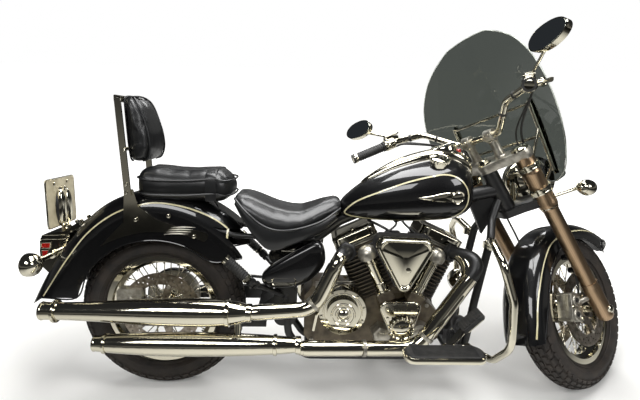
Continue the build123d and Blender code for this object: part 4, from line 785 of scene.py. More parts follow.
# console along the tank's top, its dial, warning lamps and knob
console = Shape()
console_rings = []
for x, half, low, high in ((770, 8, 815, 842), (800, 17, 826, 864), (860, 28, 858, 905), (930, 38, 890, 940),
                           (1000, 46, 908, 962), (1080, 53, 915, 980), (1140, 54, 908, 975), (1180, 46, 890, 945),
                           (1202, 30, 868, 905), (1206, 12, 862, 880)):
    console_rings.append([(x, half * bowed(cos(turn), 0.6),
                           (low + high) / 2 + (high - low) / 2 * bowed(sin(turn), 0.7)) for turn in turns(24)])
console.skin(console_rings).piece("console_shell", "chassis", chrome, ["tank_console"], subdivide=1)
DIAL = Vector((1092, 0, 964))
DIAL_UP = Vector((-0.3, 0, 0.954))
dial_matrix = axes_at(DIAL, (0, 1, 0), Vector((0, 1, 0)).cross(-DIAL_UP))
Shape().turned(DIAL, DIAL_UP, [(-8, 50), (16, 51), (21, 49), (22.5, 46), (21, 43), (17, 42), (15, 41.5)], 64).piece(
    "dial_bezel", "chassis", chrome)
Shape().turned(DIAL, DIAL_UP, [(13.5, 42), (15.2, 41.9), (15.2, 15), (15.2, 0)], 64).piece(
    "dial_face", "chassis", dial_face)
tick = Shape().block((-5.0, 0, 0), (6, 1.3, 0.6))
ring_of("dial_ticks", tick, 36, 41.0, 0.0, "chassis", black_plastic,
        dial_matrix @ Matrix.Translation((0, 0, 15.6)))
needle = Shape().slab([(-8, -1.8), (30, -0.6), (30, 0.6), (-8, 1.8)], DIAL + DIAL_UP * 16.5,
                      (0.5, 0.8, 0.16), Vector((0.5, 0.8, 0.16)).cross(DIAL_UP) * -1, 1.2)
needle.turned(DIAL, DIAL_UP, [(15, 5), (19, 4.4), (19.5, 0)], 20)
needle.piece("dial_needle", "chassis", red_lens)
Shape().turned(DIAL, DIAL_UP, [(20.6, 43.4), (21.6, 36), (22.6, 18), (22.8, 0), (21.6, 0), (20.4, 36), (19.8, 43.2)],
               48).piece("dial_glass", "chassis", lamp_glass)
knob = Shape().turned((1168, 0, 926), (0.5, 0, 0.87), [(-4, 17), (8, 17), (10, 15), (10, 9), (16, 8), (17, 0)], 24)
knob.block((1180.5, 0, 945), (4, 20, 5), (0.87, 0, -0.5))
knob.piece("ignition_knob", "chassis", chrome, bevel=0.5)
lamps = Shape()
for across in (-20, 0, 20):
    lamps.turned((1146, across, 958), (-0.1, 0, 0.995), [(-4, 6.5), (15, 6.5), (17, 5), (17.5, 0)], 16)
lamps.piece("warning_lamps", "chassis", red_lens)
CAP = Vector((1053, -88, 926))
CAP_UP = Vector((0, -0.39, 0.92)).normalized()
CAP_ACROSS = CAP_UP.cross(Vector((1, 0, 0)))
cap = Shape().turned(CAP, CAP_UP, [(-8, 34), (10, 34), (12, 37), (20, 37), (23, 34), (25, 26), (24, 24),
    (25.5, 20), (27, 8), (27, 0)], 48)
cap.piece("filler_cap_shell", "chassis", chrome, ["filler_cap"])
lobe = Shape().turned((0, 0, 0), (0, 0, 1), [(-5, 4.2), (4, 4.2), (5.5, 2.6), (5.5, 0)], 8)
ring_of("filler_cap_lobes", lobe, 22, 35.5, 0.0, "chassis", chrome,
        axes_at(CAP + CAP_UP * 15, (1, 0, 0), CAP_ACROSS))
star = Shape().block((0, 0, 0), (34, 4, 3))
ring_of("filler_cap_star", star, 6, 0.0, 0.0, "chassis", cast_alloy,
        axes_at(CAP + CAP_UP * 27, (1, 0, 0), CAP_ACROSS))

# ---------------------------------------------------------------- mudguard trim
rear_fender_surface = surface_of("rear_fender", "chassis")
front_fender_surface = surface_of("front_fender", "steering")
REAR_LINE = smooth_path([(-426, 0, 396), (-392, 0, 446), (-333, 0, 533), (-246, 0, 642), (-146, 0, 717),
    (-50, 0, 752), (29, 0, 760), (131, 0, 741), (222, 0, 702), (290, 0, 648), (318, 0, 600)], steps=8)
FRONT_LINE = smooth_path([(1946, 0, 598), (1915, 0, 611), (1880, 0, 622), (1790, 0, 636), (1700, 0, 638),
    (1600, 0, 628), (1500, 0, 592), (1436, 0, 536), (1386, 0, 464), (1344, 0, 376), (1322, 0, 290),
    (1314, 0, 250)], steps=8)
for side, letter in ((1, "l"), (-1, "r")):
    stripe(rear_fender_surface, [(p.x, p.z) for p in REAR_LINE], side, 5.0, 1.0).piece(
        "rear_stripe_" + letter, "chassis", cream_paint)
    stripe(front_fender_surface, [(p.x, p.z) for p in FRONT_LINE], side, 4.6, 1.0).piece(
        "front_stripe_" + letter, "steering", cream_paint)


REAR_HEM = [(-428, 392), (-300, 393), (-256, 484), (-196, 552), (-110, 602), (0, 621), (110, 600), (212, 541),
            (326, 556)]
FRONT_HEM = [(1342, 79, 232), (1388, 79, 330), (1424, 79, 420), (1474, 79, 505), (1550, 79, 570), (1660, 79, 606),
             (1790, 79, 590), (1874, 79, 546), (1883, 79, 580), (1912, 74, 594), (1950, 64.5, 590), (1985, 51, 580),
             (2010, 37, 568), (2027, 16, 557)]
hem = Shape()
for side in (1, -1):
    hem.swept(smooth_path([(x, side * 111, z) for x, z in REAR_HEM], steps=6), 3.2, 8)
hem.piece("rear_fender_hem", "chassis", enamel)
hem = Shape().swept(smooth_path(FRONT_HEM + [(2030, 0, 555)] + [(x, -y, z) for x, y, z in FRONT_HEM[::-1]],
    steps=6), 3.2, 8)
hem.piece("front_fender_hem", "steering", enamel)
stay_bolts = [((x, side * 118.5, z), (0, side, 0)) for x, z in ((-60, 700), (60, 716), (150, 640))
              for side in (1, -1)]
bolts("side_plate_bolts", bolt(7, 6), "chassis", chrome, stay_bolts)

# ---------------------------------------------------------------- seats
def cloth_swell(shape, name, body, replaces_node, cap, grain_size=6):
    """A padded piece: its shape is remeshed, blown up a little as cloth, and kept within a cap."""
    start = shape.mesh(name, place_for(body))
    start.shade_smooth()
    pad = new_object(name, start)
    remesh = pad.modifiers.new("remesh", "REMESH")
    remesh.mode = "VOXEL"
    remesh.voxel_size = grain_size * 0.001
    bpy.context.view_layer.update()
    even = bpy.data.meshes.new_from_object(pad.evaluated_get(bpy.context.evaluated_depsgraph_get()))
    pad.modifiers.clear()
    pad.data = even
    rest = [v.co.copy() for v in even.vertices]
    cloth = pad.modifiers.new("cloth", "CLOTH")
    cloth.settings.use_pressure = True
    cloth.settings.uniform_pressure_force = 4.0
    cloth.settings.effector_weights.gravity = 0.0
    cloth.point_cache.frame_end = 20
    scene = bpy.context.scene
    for tick in range(1, 21):
        scene.frame_set(tick)
    swollen = bpy.data.meshes.new_from_object(pad.evaluated_get(bpy.context.evaluated_depsgraph_get()))
    pad.modifiers.clear()
    scene.frame_set(1)
    for vertex, old in zip(swollen.vertices, rest):
        step = vertex.co - old
        if step.length > cap * 0.001:
            vertex.co = old + step.normalized() * cap * 0.001
    pad.data = swollen
    pad.data.shade_smooth()
    smooth = pad.modifiers.new("settle", "SMOOTH")
    smooth.factor = 0.5
    smooth.iterations = 4
    rounder = pad.modifiers.new("round", "SUBSURF")
    rounder.levels = rounder.render_levels = 1
    pad.data.materials.clear()
    pad.data.materials.append(vinyl[0])
    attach(pad, body)
    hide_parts(*replaces_node)
    return pad


def cushion(stations, steps=28, power_up=0.75, power_down=0.45):
    """A crowned form lofted along X: x, half width, bottom, edge height, top at the middle, dish."""
    shape = Shape()
    rings = []
    for x, half, low, edge, high, dish in stations:
        ring = []
        for turn in turns(steps):
            up = sin(turn)
            across = half * bowed(cos(turn), power_up if up >= 0 else power_down)
            if up >= 0:
                share = (across / half) ** 2
                rise = edge + (high - edge) * abs(up) ** 0.8 + dish * share * (1 - share) * 4
            else:
                rise = edge - (edge - low) * abs(up) ** 0.6
            ring.append((x, across, rise))
        rings.append(ring)
    return shape.skin(rings)


# rider's seat: a dished saddle, its skirt reaching down over the side covers
RIDER = [(296, 78, 770, 778, 790, 0), (304, 112, 748, 774, 800, 2), (330, 138, 712, 752, 794, 6),
         (370, 152, 668, 724, 776, 8), (410, 158, 634, 698, 758, 9), (450, 160, 634, 684, 742, 9),
         (500, 158, 640, 682, 730, 8), (545, 150, 652, 690, 730, 6), (590, 132, 672, 706, 748, 4),
         (630, 108, 694, 722, 768, 2), (664, 88, 712, 738, 784, 0), (686, 76, 724, 744, 780, 0),
         (694, 60, 730, 746, 768, 0), ]
saddle = cushion(RIDER)
cloth_swell(saddle, "rider_saddle", "chassis", ["rider_seat"], 5)


def seat_panels(shape, side):
    """The seat's side skirt: a stiff vinyl panel under the piping."""
    upper = smooth_path([(306, 126, 778), (346, 152, 740), (401, 160, 696), (459, 162, 676), (533, 154, 680),
                         (615, 124, 702), (668, 92, 730)], steps=4)
    lower = smooth_path([(300, 124, 764), (340, 148, 700), (390, 158, 634), (440, 160, 602), (530, 152, 626),
                         (612, 126, 656), (682, 88, 708)], steps=4)
    rings = []
    for top, low in zip(upper, lower):
        ring = []
        for share, out in ((0.0, 0), (0.15, 3), (0.5, 5), (0.85, 3), (1.0, -1), (1.0, -8), (0.5, -6), (0.0, -8)):
            point = top.lerp(low, share)
            ring.append((point.x, side * (point.y + out), point.z))
        rings.append(ring)
    shape.skin(rings)


both_sides(seat_panels).piece("saddle_skirts", "chassis", vinyl, sharp=60)


def saddle_piping(shape, side):
    shape.swept(smooth_path([(300, side * 90, 782), (306, side * 124, 780), (346, side * 152, 742),
                             (401, side * 161, 698), (459, side * 163.5, 678), (533, side * 156, 682),
                             (615, side * 126, 703), (668, side * 92, 731), (692, side * 70, 745)], steps=6),
                4.6, 10)


both_sides(saddle_piping).piece("saddle_piping", "chassis", vinyl)

# passenger's cushion, its strap and piping
PILLION = [(-62, 56, 800, 828, 856, 0), (-60, 80, 786, 828, 868, 0), (-54, 100, 772, 828, 879, 0),
           (-34, 112, 768, 828, 887, 3), (10, 117, 768, 826, 882, 6), (70, 118, 768, 826, 875, 7),
           (130, 118, 768, 824, 874, 6), (180, 117, 768, 822, 879, 4), (222, 114, 766, 818, 882, 1),
           (248, 107, 768, 814, 876, 0), (266, 96, 772, 812, 862, 0), (278, 82, 780, 812, 847, 0),
           (286, 62, 792, 812, 832, 0), (289, 40, 800, 814, 824, 0), ]
pillion = cushion(PILLION, power_up=0.55, power_down=0.4)
cloth_swell(pillion, "pillion_cushion", "chassis", ["passenger_seat"], 4)


def pillion_ring(height, grow):
    """A loop round the pillion cushion at a height, standing a little off its sides."""
    points = [(-62, 0), (-60, 60), (-48, 104), (0, 118), (120, 120), (220, 116), (262, 104), (284, 66), (289, 0)]
    run = []
    for x, y in points:
        lowered = 8 if x > 240 else 6 if 0 <= x <= 140 else 0
        run.append((x, y + grow if y > 60 else y, height - lowered))
    return smooth_path(run + [(x, -y, z) for x, y, z in run[-2:0:-1]], closed=True, steps=5)


piping = Shape()
for height in (854, 800):
    loop = pillion_ring(height, 2)
    rings = []
    for index, point in enumerate(loop):
        way = (loop[(index + 1) % len(loop)] - loop[index - 1]).normalized()
        out = way.cross(Vector((0, 0, 1)))
        rings.append([point + (out * cos(t) + Vector((0, 0, 1)) * sin(t)) * 3.6 for t in turns(8)])
    piping.skin(rings, looped=True)
piping.piece("pillion_piping", "chassis", vinyl)
strap = Shape()
strap_rings = []
for step in range(33):
    up = sin(pi * step / 32)
    y = 120.5 * bowed(cos(pi * step / 32), 0.5)
    z = 826 + 59 * up ** 0.55 if up > 0.02 else 776
    strap_rings.append([(194, y, z - 3), (197, y, z), (214, y, z + 1), (231, y, z), (234, y, z - 3),
                        (214, y * 0.97, z - 5)])
strap.skin(strap_rings).piece("pillion_strap", "chassis", vinyl, bevel=0.8)

# backrest
BACK = [
    (912, 84, -80, -40), (922, 100, -84, -18), (960, 106, -89, -6), (1010, 106, -92, -10), (1060, 105, -94, -24),
    (1105, 102, -96, -40), (1130, 94, -98, -54), (1142, 76, -97, -68),
]
rings = []
for z, half, back, front in BACK:
    rings.append([((back + front) / 2 + (front - back) / 2 * bowed(sin(turn), 0.6), half * bowed(cos(turn), 0.55), z)
                  for turn in turns(28)])
cloth_swell(Shape().skin(rings), "backrest_cushion", "chassis", ["backrest_pad"], 4)
back_piping = Shape()
for facing in (1, -1):
    half_loop = []
    for z, half, back, front in BACK:
        ahead = (front - back) / 2 * 0.78 ** 0.6 + 1.5
        half_loop.append(((back + front) / 2 + facing * ahead, half * 0.63 ** 0.55 + 1.5, z))
    half_loop.append((half_loop[-1][0], 0, 1146))
    back_piping.swept(smooth_path(half_loop + [(x, -y, z) for x, y, z in half_loop[-2::-1]], steps=5), 3.6, 8)
back_piping.piece("backrest_piping", "chassis", vinyl)

# backrest uprights' bolts, and the chrome plates' louvres
bolts("backrest_bolts", bolt(6, 5), "chassis", chrome,
      [((-88, side * 126, z), (0, side, 0)) for side in (1, -1) for z in (800, 830, 955)])
louvre = Shape().swept(smooth_path([(0, 0, 0), (45, 0, 3), (90, 0, 2)], steps=6),
                       lambda share: 2.4 * sin(pi * min(max(share, 0.06), 0.94)), 8)
for side in (1, -1):
    row_of("plate_louvres_" + ("l" if side > 0 else "r"), louvre, 4, (-9, 0, -8.5), "chassis", cast_alloy,
           Matrix.Translation((66, side * 118, 672)))

# ---------------------------------------------------------------- engine
CRANK = Vector((915, 0, 265))
VEE = {"rear": radians(-24), "front": radians(24)}


def along_barrel(name):
    """The fore-and-aft and up directions of one cylinder."""
    lean = VEE[name]
    return Vector((cos(lean), 0, -sin(lean))), Vector((sin(lean), 0, cos(lean)))


for name in ("rear", "front"):
    ahead, up = along_barrel(name)
    # thin cooling fins with rounded corners, standing a little proud of the casting
    fin = Shape()
    outline = rounded_rectangle(85.0, 94.0, 34.0)
    fin.skin([[(x * 0.86, y * 0.9, 0) for x, y in outline], [(x, y, 0.7) for x, y in outline],
              [(x, y, 1.8) for x, y in outline], [(x * 0.86, y * 0.9, 2.5) for x, y in outline]])
    row_of(name + "_fins", fin, 27, (0, 0, 7.6), "chassis", fin_paint,
           axes_at(CRANK + up * 175, ahead, (0, 1, 0)), sharp=30)
    # the rocker cover: stepped flange, crowned lid, edge bolts
    lid = Shape()
    rings = []
    for height, share in ((-4, 1.02), (3, 1.02), (3.5, 0.985), (9, 0.985), (9.5, 0.95), (24, 0.93), (31, 0.86),
                          (35, 0.7), (36.5, 0.35), (37, 0.02)):
        rings.append([CRANK + up * (395 + height) + ahead * x * share + Vector((0, y * share, 0)) for x,
                      y in outline])
    lid.skin(rings).piece(name + "_rocker_lid", "chassis", chrome, sharp=50)
    flange = Shape()
    for profile in (((-9, 1.0), (-8, 1.035), (-5, 1.035), (-4.4, 1.0)), ((-18, 0.98), (-17, 1.03),
                                                                         (-12.5, 1.03), (-12, 0.98))):
        flange.skin([[CRANK + up * (395 + h) + ahead * x * s + Vector((0, y * s, 0)) for x, y in outline] for h,
                     s in profile])
    flange.piece(name + "_head_flanges", "chassis", engine_alloy)
    spots = [(CRANK + up * 404.5 + ahead * x + Vector((0, y, 0)), up)
             for x, y in ((-62, -84), (0, -90), (62, -84), (-62, 84), (0, 90), (62, 84))]
    spots.append((CRANK + up * 432 + Vector((0, -46, 0)), up))
    bolts(name + "_head_bolts", bolt(6.5, 7), "chassis", chrome, spots)

# pushrod tubes: chrome sleeves with collars, standing from square tappet blocks to round bosses
sleeves, tappets, bosses = Shape(), Shape(), Shape()
tappet_bolts = []
for name, shift in (("rear", 20), ("front", -6)):
    ahead, up = along_barrel(name)
    foot = CRANK + ahead * shift + Vector((0, -128, 0))
    sleeves.turned(foot, up, [(180, 25), (192, 25), (194, 21.5), (214, 21.5), (216, 24), (222, 24), (224, 21.5),
        (298, 21.5), (300, 24.5), (309, 24.5), (311, 21.5), (336, 21.5)], 32)
    base = [ahead * x + Vector((0, y, 0)) for x, y in rounded_rectangle(31, 31, 8)]
    tappets.skin([[foot + point * share + up * height for point in base]
                  for share, height in ((1.0, 152), (1.0, 181), (0.95, 185), (0.5, 186))])
    bosses.turned(foot, up, [(322, 26), (326, 35), (338, 37), (350, 36), (362, 31), (371, 21), (375, 9),
        (376, 0)], 40)
    tappet_bolts += [(foot + up * 185 + ahead * x + Vector((0, y, 0)), up) for x in (-23, 23) for y in (-23, 23)]
sleeves.piece("pushrod_sleeves", "chassis", chrome, ["pushrod_covers"])
tappets.piece("tappet_blocks", "chassis", engine_paint, sharp=50)
bosses.piece("pushrod_bosses", "chassis", engine_alloy)
bolts("tappet_bolts", bolt(4.5, 5), "chassis", chrome, tappet_bolts)

# crankcase: cover rims, ribs on the gearbox top, an oil filter and a drain plug
clutch = Shape()
for out, radius in ((159.2, 88), (161.5, 76), (183.5, 60), (186.2, 46), (187.05, 30)):
    clutch.turned((705, -out, 368), (0, -1, 0), [(-2, radius), (0, radius), (1.5, radius - 2),
        (1.5, radius - 6), (0, radius - 8), (-2, radius - 8)], 64, looped=True)
clutch.turned((705, -184, 368), (0, -1, 0), [(0, 20), (6, 19), (10, 14), (12, 6), (12.5, 0)], 48)
clutch.piece("clutch_cover_rings", "chassis", chrome)
ring_of("clutch_cover_bolts", bolt(5.2, 5), 10, 81.5, 0.2, "chassis", chrome,
        axes_at((705, -163, 368), (1, 0, 0), (0, 0, 1)))
cam = Shape()
cam.turned((924, -184, 315), (0, -1, 0), [(0, 43), (3, 44), (7, 42), (8, 38), (6, 35), (8, 31), (11, 24),
    (12, 0)], 64)
cam.piece("cam_cap", "chassis", chrome)
scallop = Shape().turned((0, 0, 0), (0, 0, 1), [(-3, 4.6), (4, 4.6), (6, 3), (6.5, 0)], 10)
ring_of("cam_cap_scallops", scallop, 16, 43.0, 0.0, "chassis", chrome,
        axes_at((924, -187, 315), (1, 0, 0), (0, 0, 1)))
bolts("cam_cover_bolts", bolt(5, 5), "chassis", chrome, [((x, -174, z), (0, -1, 0)) for x, z in ((852, 398),
    (896, 408), (942, 408), (984, 396), (966, 352), (872, 352), (884, 290), (964, 290))])
rib = Shape().block((0, 0, 0), (104, 6, 4))
rib.turned((52, 0, 0), (0, 0, 1), [(-2, 3), (2, 3)], 8)
row_of("gearbox_ribs", rib, 7, (0, 0, -9.0), "chassis", engine_alloy,
       axes_at((655, -86, 438), (1, 0, 0), (0, 0, 1)))
gearbox = Shape()
for row in range(6):
    z = 462 - row * 10
    gearbox.swept(rounded_path([(640 - row * 3, -84, z), (650, -92, z), (742, -92, z + 2), (752, -84, z + 2)],
        8), 3.0, 8)
gearbox.piece("gearbox_top_ribs", "chassis", engine_alloy)
lower = Shape()
lower.turned((860, -83, 262), (0, -1, 0), [(0, 40), (40, 38), (52, 34), (56, 26), (57, 0)], 6)
lower.turned((860, -140, 262), (0, -1, 0), [(-2, 20), (6, 20), (8, 14), (8, 0)], 40)
lower.turned((1010, -83, 262), (0, -1, 0), [(0, 44), (36, 44), (44, 40), (46, 34), (44, 30), (47, 22), (47, 0)], 48)
lower.piece("oil_filter_and_pump", "chassis", engine_alloy, bevel=1.0)
sump = Shape()
sump.swept(rounded_path([(620, -84, 205), (900, -86, 200), (1010, -86, 214), (1060, -84, 250)], 50), 7, 10)
sump.swept(rounded_path([(598, -84, 260), (610, -96, 330), (640, -100, 372)], 40), 8, 10)
sump.piece("oil_lines", "chassis", chrome)
bolts("case_bolts", bolt(6, 6), "chassis", engine_alloy, [((x, side * 84, z), (0, side, 0)) for side in (1, -1)
    for x, z in ((590, 220), (650, 208), (760, 206), (880, 204), (1000, 206), (1072, 250), (1082, 310),
    (1040, 366))])
bolts("primary_bolts", bolt(6, 5), "chassis", chrome, [((915 + 88 * cos(t), 170, 292 + 88 * sin(t)), (0, 1, 0))
    for t in (1.4, 0.6, -0.2, -1.0, -1.8)] + [((770 + 74 * cos(t), 170, 320 + 74 * sin(t)), (0, 1, 0))
    for t in (1.7, 2.5, 3.4, 4.3)])
primary = Shape()
for centre, radius in (((915, 170, 292), 62), ((770, 170, 320), 48)):
    primary.turned(centre, (0, 1, 0), [(-1, radius), (5, radius), (8, radius - 4), (8, radius - 10),
        (5, radius - 13), (6, 0)], 56)
primary.piece("primary_cover_domes", "chassis", chrome)

# air cleaner: a dished chrome lid with a raised rim and one bolt
lid_line = []
for cx, cz, r, first, last in ((984, 642, 34, -15, 95), (846, 646, 34, 95, 212), (916, 506, 28, 212, 345)):
    for step in range(9):
        turn = radians(first + (last - first) * step / 8)
        lid_line.append(Vector((cx + r * cos(turn), 0, cz + r * sin(turn))))
lid_line = smooth_path(lid_line, closed=True, steps=3)
LID_MIDDLE = Vector((915, 0, 604))
cleaner = Shape()
centre = Vector((915, 0, 596))
rings = []
for share, out in ((0.97, -160), (0.985, -176), (0.985, -186), (1.0, -188), (1.02, -200), (1.02, -214),
                   (1.0, -224), (0.96, -231), (0.91, -234), (0.87, -233), (0.84, -229), (0.82, -226.5),
                   (0.78, -227), (0.6, -231), (0.35, -234), (0.1, -235.5), (0.01, -235.6)):
    rings.append([centre + (p - LID_MIDDLE) * share * 0.97 + Vector((0, out, 0)) for p in lid_line])
cleaner.skin(rings).piece("air_cleaner_lid", "chassis", chrome, ["air_cleaner"], sharp=60)
bolts("air_cleaner_bolt", bolt(9, 8), "chassis", chrome, [((926, -231, 558), (0, -1, 0))])
backing = Shape()
backing.skin([[centre + (p - LID_MIDDLE) * share + Vector((0, out, 0)) for p in lid_line]
              for share, out in ((0.9, -146), (1.05, -150), (1.05, -160), (0.95, -162))])
backing.piece("air_cleaner_backplate", "chassis", black_plastic)

# plug leads, throttle and clutch cables, fuel pipe
leads = Shape()
for name, shift in (("rear", -24), ("front", 24)):
    ahead, up = along_barrel(name)
    start = CRANK + up * 360 + Vector((0, -96, 0)) - ahead * shift
    leads.swept(smooth_path([start, start + Vector((0, -22, 6)), (915 + shift, -120, 690),
        (915 + shift * 0.6, -60, 700), (915, -30, 690)], steps=8), 4.0, 10)
    leads.turned(start, (0, -1, 0.2), [(-10, 9), (8, 9), (14, 6), (20, 5.4)], 16)
leads.swept(smooth_path([(905, -100, 640), (870, -110, 672), (836, -104, 690), (800, -60, 700)], steps=8), 5, 10)
leads.piece("plug_leads", "chassis", moulded_rubber)

# horn on the left, regulator on the right of the downtubes
horn = Shape()
horn.turned((1196, 60, 420), (0.8, 0.6, 0), [(-20, 20), (0, 44), (14, 48), (16, 44), (12, 38), (14, 20),
    (18, 8), (18, 0)], 40)
horn.piece("horn", "chassis", chrome)
regulator = Shape()
regulator.turned((1168, -104, 300), (0, -1, 0), [(-18, 30), (10, 34), (18, 34), (22, 28), (20, 22), (24, 12),
    (24, 0)], 40)
regulator.piece("regulator_housing", "chassis", black_plastic)
fin = Shape().block((0, 0, 0), (4, 46, 52))
row_of("regulator_fins", fin, 8, (8.0, 0, 0), "chassis", black_plastic, Matrix.Translation((1122, -80, 232)))

# ---------------------------------------------------------------- exhaust
UPPER = Vector((0, -248, 400))
LOWER = Vector((0, -262, 288))
trim = Shape()
for base, places in ((UPPER, ((369, 29, 10), (296, 46.5, 7), (-300, 36.5, 6))), (LOWER, ((543, 28, 10),
                                                                                         (462, 34, 7),
                                                                                         (-130, 32, 6)))):
    for x, radius, wide in places:
        trim.turned(base + Vector((x, 0, 0)), (1, 0, 0), [(-wide, radius), (-wide + 1.5, radius + 3),
            (0, radius + 3.6), (wide - 1.5, radius + 3), (wide, radius)], 48)
for base, x, radius in ((UPPER, -345, 31), (LOWER, -165, 27)):
    trim.turned(base + Vector((x, 0, 0)), (-1, 0, 0), [(-4, radius + 0.4), (2, radius + 1.6), (5, radius),
        (5, radius - 4), (-30, radius - 7), (-40, radius - 8), (-40, 0)], 48)
trim.piece("exhaust_rings", "chassis", chrome, sharp=45)
bores = Shape()
for base, x, radius in ((UPPER, -345, 31), (LOWER, -165, 27)):
    bores.turned(base + Vector((x, 0, 0)), (-1, 0, 0), [(-34, 0.5), (-33, radius - 8), (4.2, radius - 4.6),
        (4.4, radius - 5.4), (-30, radius - 10), (-31, 0)], 36)
bores.piece("exhaust_bores", "chassis", frame_black)

HEADERS = {
    "rear": rounded_path([(722, -97, 585), (690, -208, 606), (597, -218, 404), (372, -248, 400)], 96),
    "front": rounded_path([(1100, -97, 590), (1196, -214, 592), (976, -218, 256), (546, -262, 276)], 110),
}
shields = Shape()
for name, spans in (("rear", ((0.27, 0.56), (0.58, 0.985))), ("front", ((0.2, 0.48), (0.5, 0.74), (0.76, 0.985)))):
    path = HEADERS[name]
    for first, last in spans:
        run = [at_share(path, first + (last - first) * step / 20)[0] for step in range(21)]
        shields.swept(run, lambda share: 26.6 + 1.2 * min(1, 12 * min(share, 1 - share)), 28)
shields.piece("header_shields", "chassis", chrome)
clamps = Shape()
for name, share in (("rear", 0.57), ("front", 0.49), ("front", 0.75)):
    spot, way = at_share(HEADERS[name], share)
    clamps.turned(spot, way, [(-6, 27), (-6, 30), (6, 30), (6, 27)], 36, looped=True)
    side_way = way.cross(Vector((0, -1, 0))).normalized()
    clamps.turned(spot + Vector((0, -24, 0)) + side_way * 18, side_way, [(-6, 5), (8, 5), (9, 3.5), (9, 0)], 12)
clamps.piece("shield_clamps", "chassis", cast_alloy)
elbows = Shape()
for name in ("rear", "front"):
    run = [at_share(HEADERS[name], share / 100)[0] for share in range(0, 21)]
    elbows.swept(run, lambda share: 26.4 - 1.5 * share, 24)
    spot, way = at_share(HEADERS[name], 0.02)
    elbows.turned(spot, way, [(-6, 38), (6, 38), (8, 34), (8, 26)], 6)
elbows.piece("port_elbows", "chassis", frame_black, sharp=45)

# ---------------------------------------------------------------- fork and yokes
for side, letter in ((1, "l"), (-1, "r")):
    leg = Shape()
    base = on_fork(48, side * 130, 0)
    # stepped champagne covers: seat ring, tapered shroud, collar under the top yoke
    leg.turned(base, UP_FORK, [(834, 27.5), (835, 35), (846, 36.5), (850, 35.6), (978, 34.6), (980, 35.8),
        (988, 35.8), (990, 34.6), (1048, 34.6), (1049, 27)], 48)
    leg.piece("fork_shroud_" + letter, "steering", warm_alloy, sharp=40)
    slider = Shape()
    slider.turned(base, UP_FORK, [(838, 26), (836, 30), (830, 31.5), (822, 31.5), (818, 28.5), (500, 28.4),
        (470, 28.6), (452, 31.8), (330, 32.2), (314, 31), (306, 26), (304, 0)], 48)
    slider.piece("fork_slider_skin_" + letter, "steering", warm_alloy, sharp=40)
    seals = Shape()
    seals.turned(base, UP_FORK, [(838, 33), (836, 33.6), (830, 33.8), (828, 30)], 40)
    seals.turned(base, UP_FORK, [(1080, 24), (1082, 33), (1089, 32), (1094, 24), (1098, 12), (1098, 0)], 32)
    seals.piece("fork_caps_" + letter, "steering", chrome)
    pinch = [(on_fork(78, side * 130 + dy, up), AHEAD_OF_FORK) for up in (318, 352) for dy in (-12, 12)]
    bolts("axle_pinch_bolts_" + letter, bolt(5, 6), "steering", chrome, pinch)

yoke = Shape()
yoke_line = []
for ahead, out, r, first, last in ((48, 130, 37, -35, 128), (4, 0, 35, 128, 232), (48, -130, 37, 232, 395)):
    for step in range(9):
        turn = radians(first + (last - first) * step / 8)
        yoke_line.append((ahead + r * cos(turn), out + r * sin(turn)))
rings = []
for up, grow in ((1047, 0.97), (1049, 1.0), (1077, 1.0), (1081, 0.98), (1082, 0.93)):
    rings.append([on_fork(28 + (ahead - 28) * grow, out * (1 - (1 - grow) * 0.3), up) for ahead, out in yoke_line])
yoke.skin(rings).piece("upper_yoke_casting", "steering", cast_alloy, ["upper_yoke"], sharp=40)
stem_nut = Shape()
stem_nut.turned(on_fork(0, 0, 1080), UP_FORK, [(0, 26), (3, 26), (4, 20), (16, 20), (18, 17), (22, 10), (23, 0)], 6)
stem_nut.turned(on_fork(0, 0, 1080), UP_FORK, [(-1, 28), (2.5, 28), (3, 22)], 40)
stem_nut.piece("stem_nut", "steering", chrome)
rib = Shape().block((0, 0, 0), (5, 5, 26))
row_of("yoke_ribs", rib, 11, (0, 13.0, 0), "steering", cast_alloy,
       axes_at(on_fork(76, -65, 1064), AHEAD_OF_FORK, (0, 1, 0)))
lower_plate = Shape()
for up in (850, 880):
    lower_plate.skin([[on_fork(14 + (a - 14) * g, o * g, up + h) for a, o in yoke_line] for h, g in ((-3, 0.9),
        (-2, 0.96), (2, 0.96), (3, 0.9))])
lower_plate.piece("lower_yoke_lips", "steering", frame_black, sharp=40)

# handlebar clamps on their risers
risers = Shape()
for side in (1, -1):
    foot = on_fork(41, side * 52, 1080)
    risers.turned(foot, UP_FORK, [(-2, 25), (4, 25), (8, 20), (30, 17.4), (62, 17.4), (70, 20)], 32)
    clamp = on_fork(41, side * 52, 1172)
    risers.turned(clamp, (0, 1, 0), [(-19, 20), (-18, 25), (18, 25), (19, 20)], 36)
    risers.skin([[clamp + AHEAD_OF_FORK * a + Vector((0, y, 0)) + UP_FORK * u for a, y in
                  ((-30, -17), (30, -17), (30, 17), (-30, 17))] for u in (-9, 9)])
risers.piece("bar_risers", "steering", cast_alloy, bevel=1.2, sharp=40)
bolts("riser_bolts", bolt(5, 6, 6), "steering", chrome,
      [(on_fork(41 + a, side * (52 + dy), 1182), UP_FORK) for side in (1, -1) for a in (-23, 23) for dy in (-10, 10)])

# ---------------------------------------------------------------- grips, switches, levers and mirrors
GRIP_IN, GRIP_OUT = Vector((1053, 342, 1068)), Vector((946, 401, 1026))


def mirror_y(point, side):
    return Vector((point.x, point.y * side, point.z))


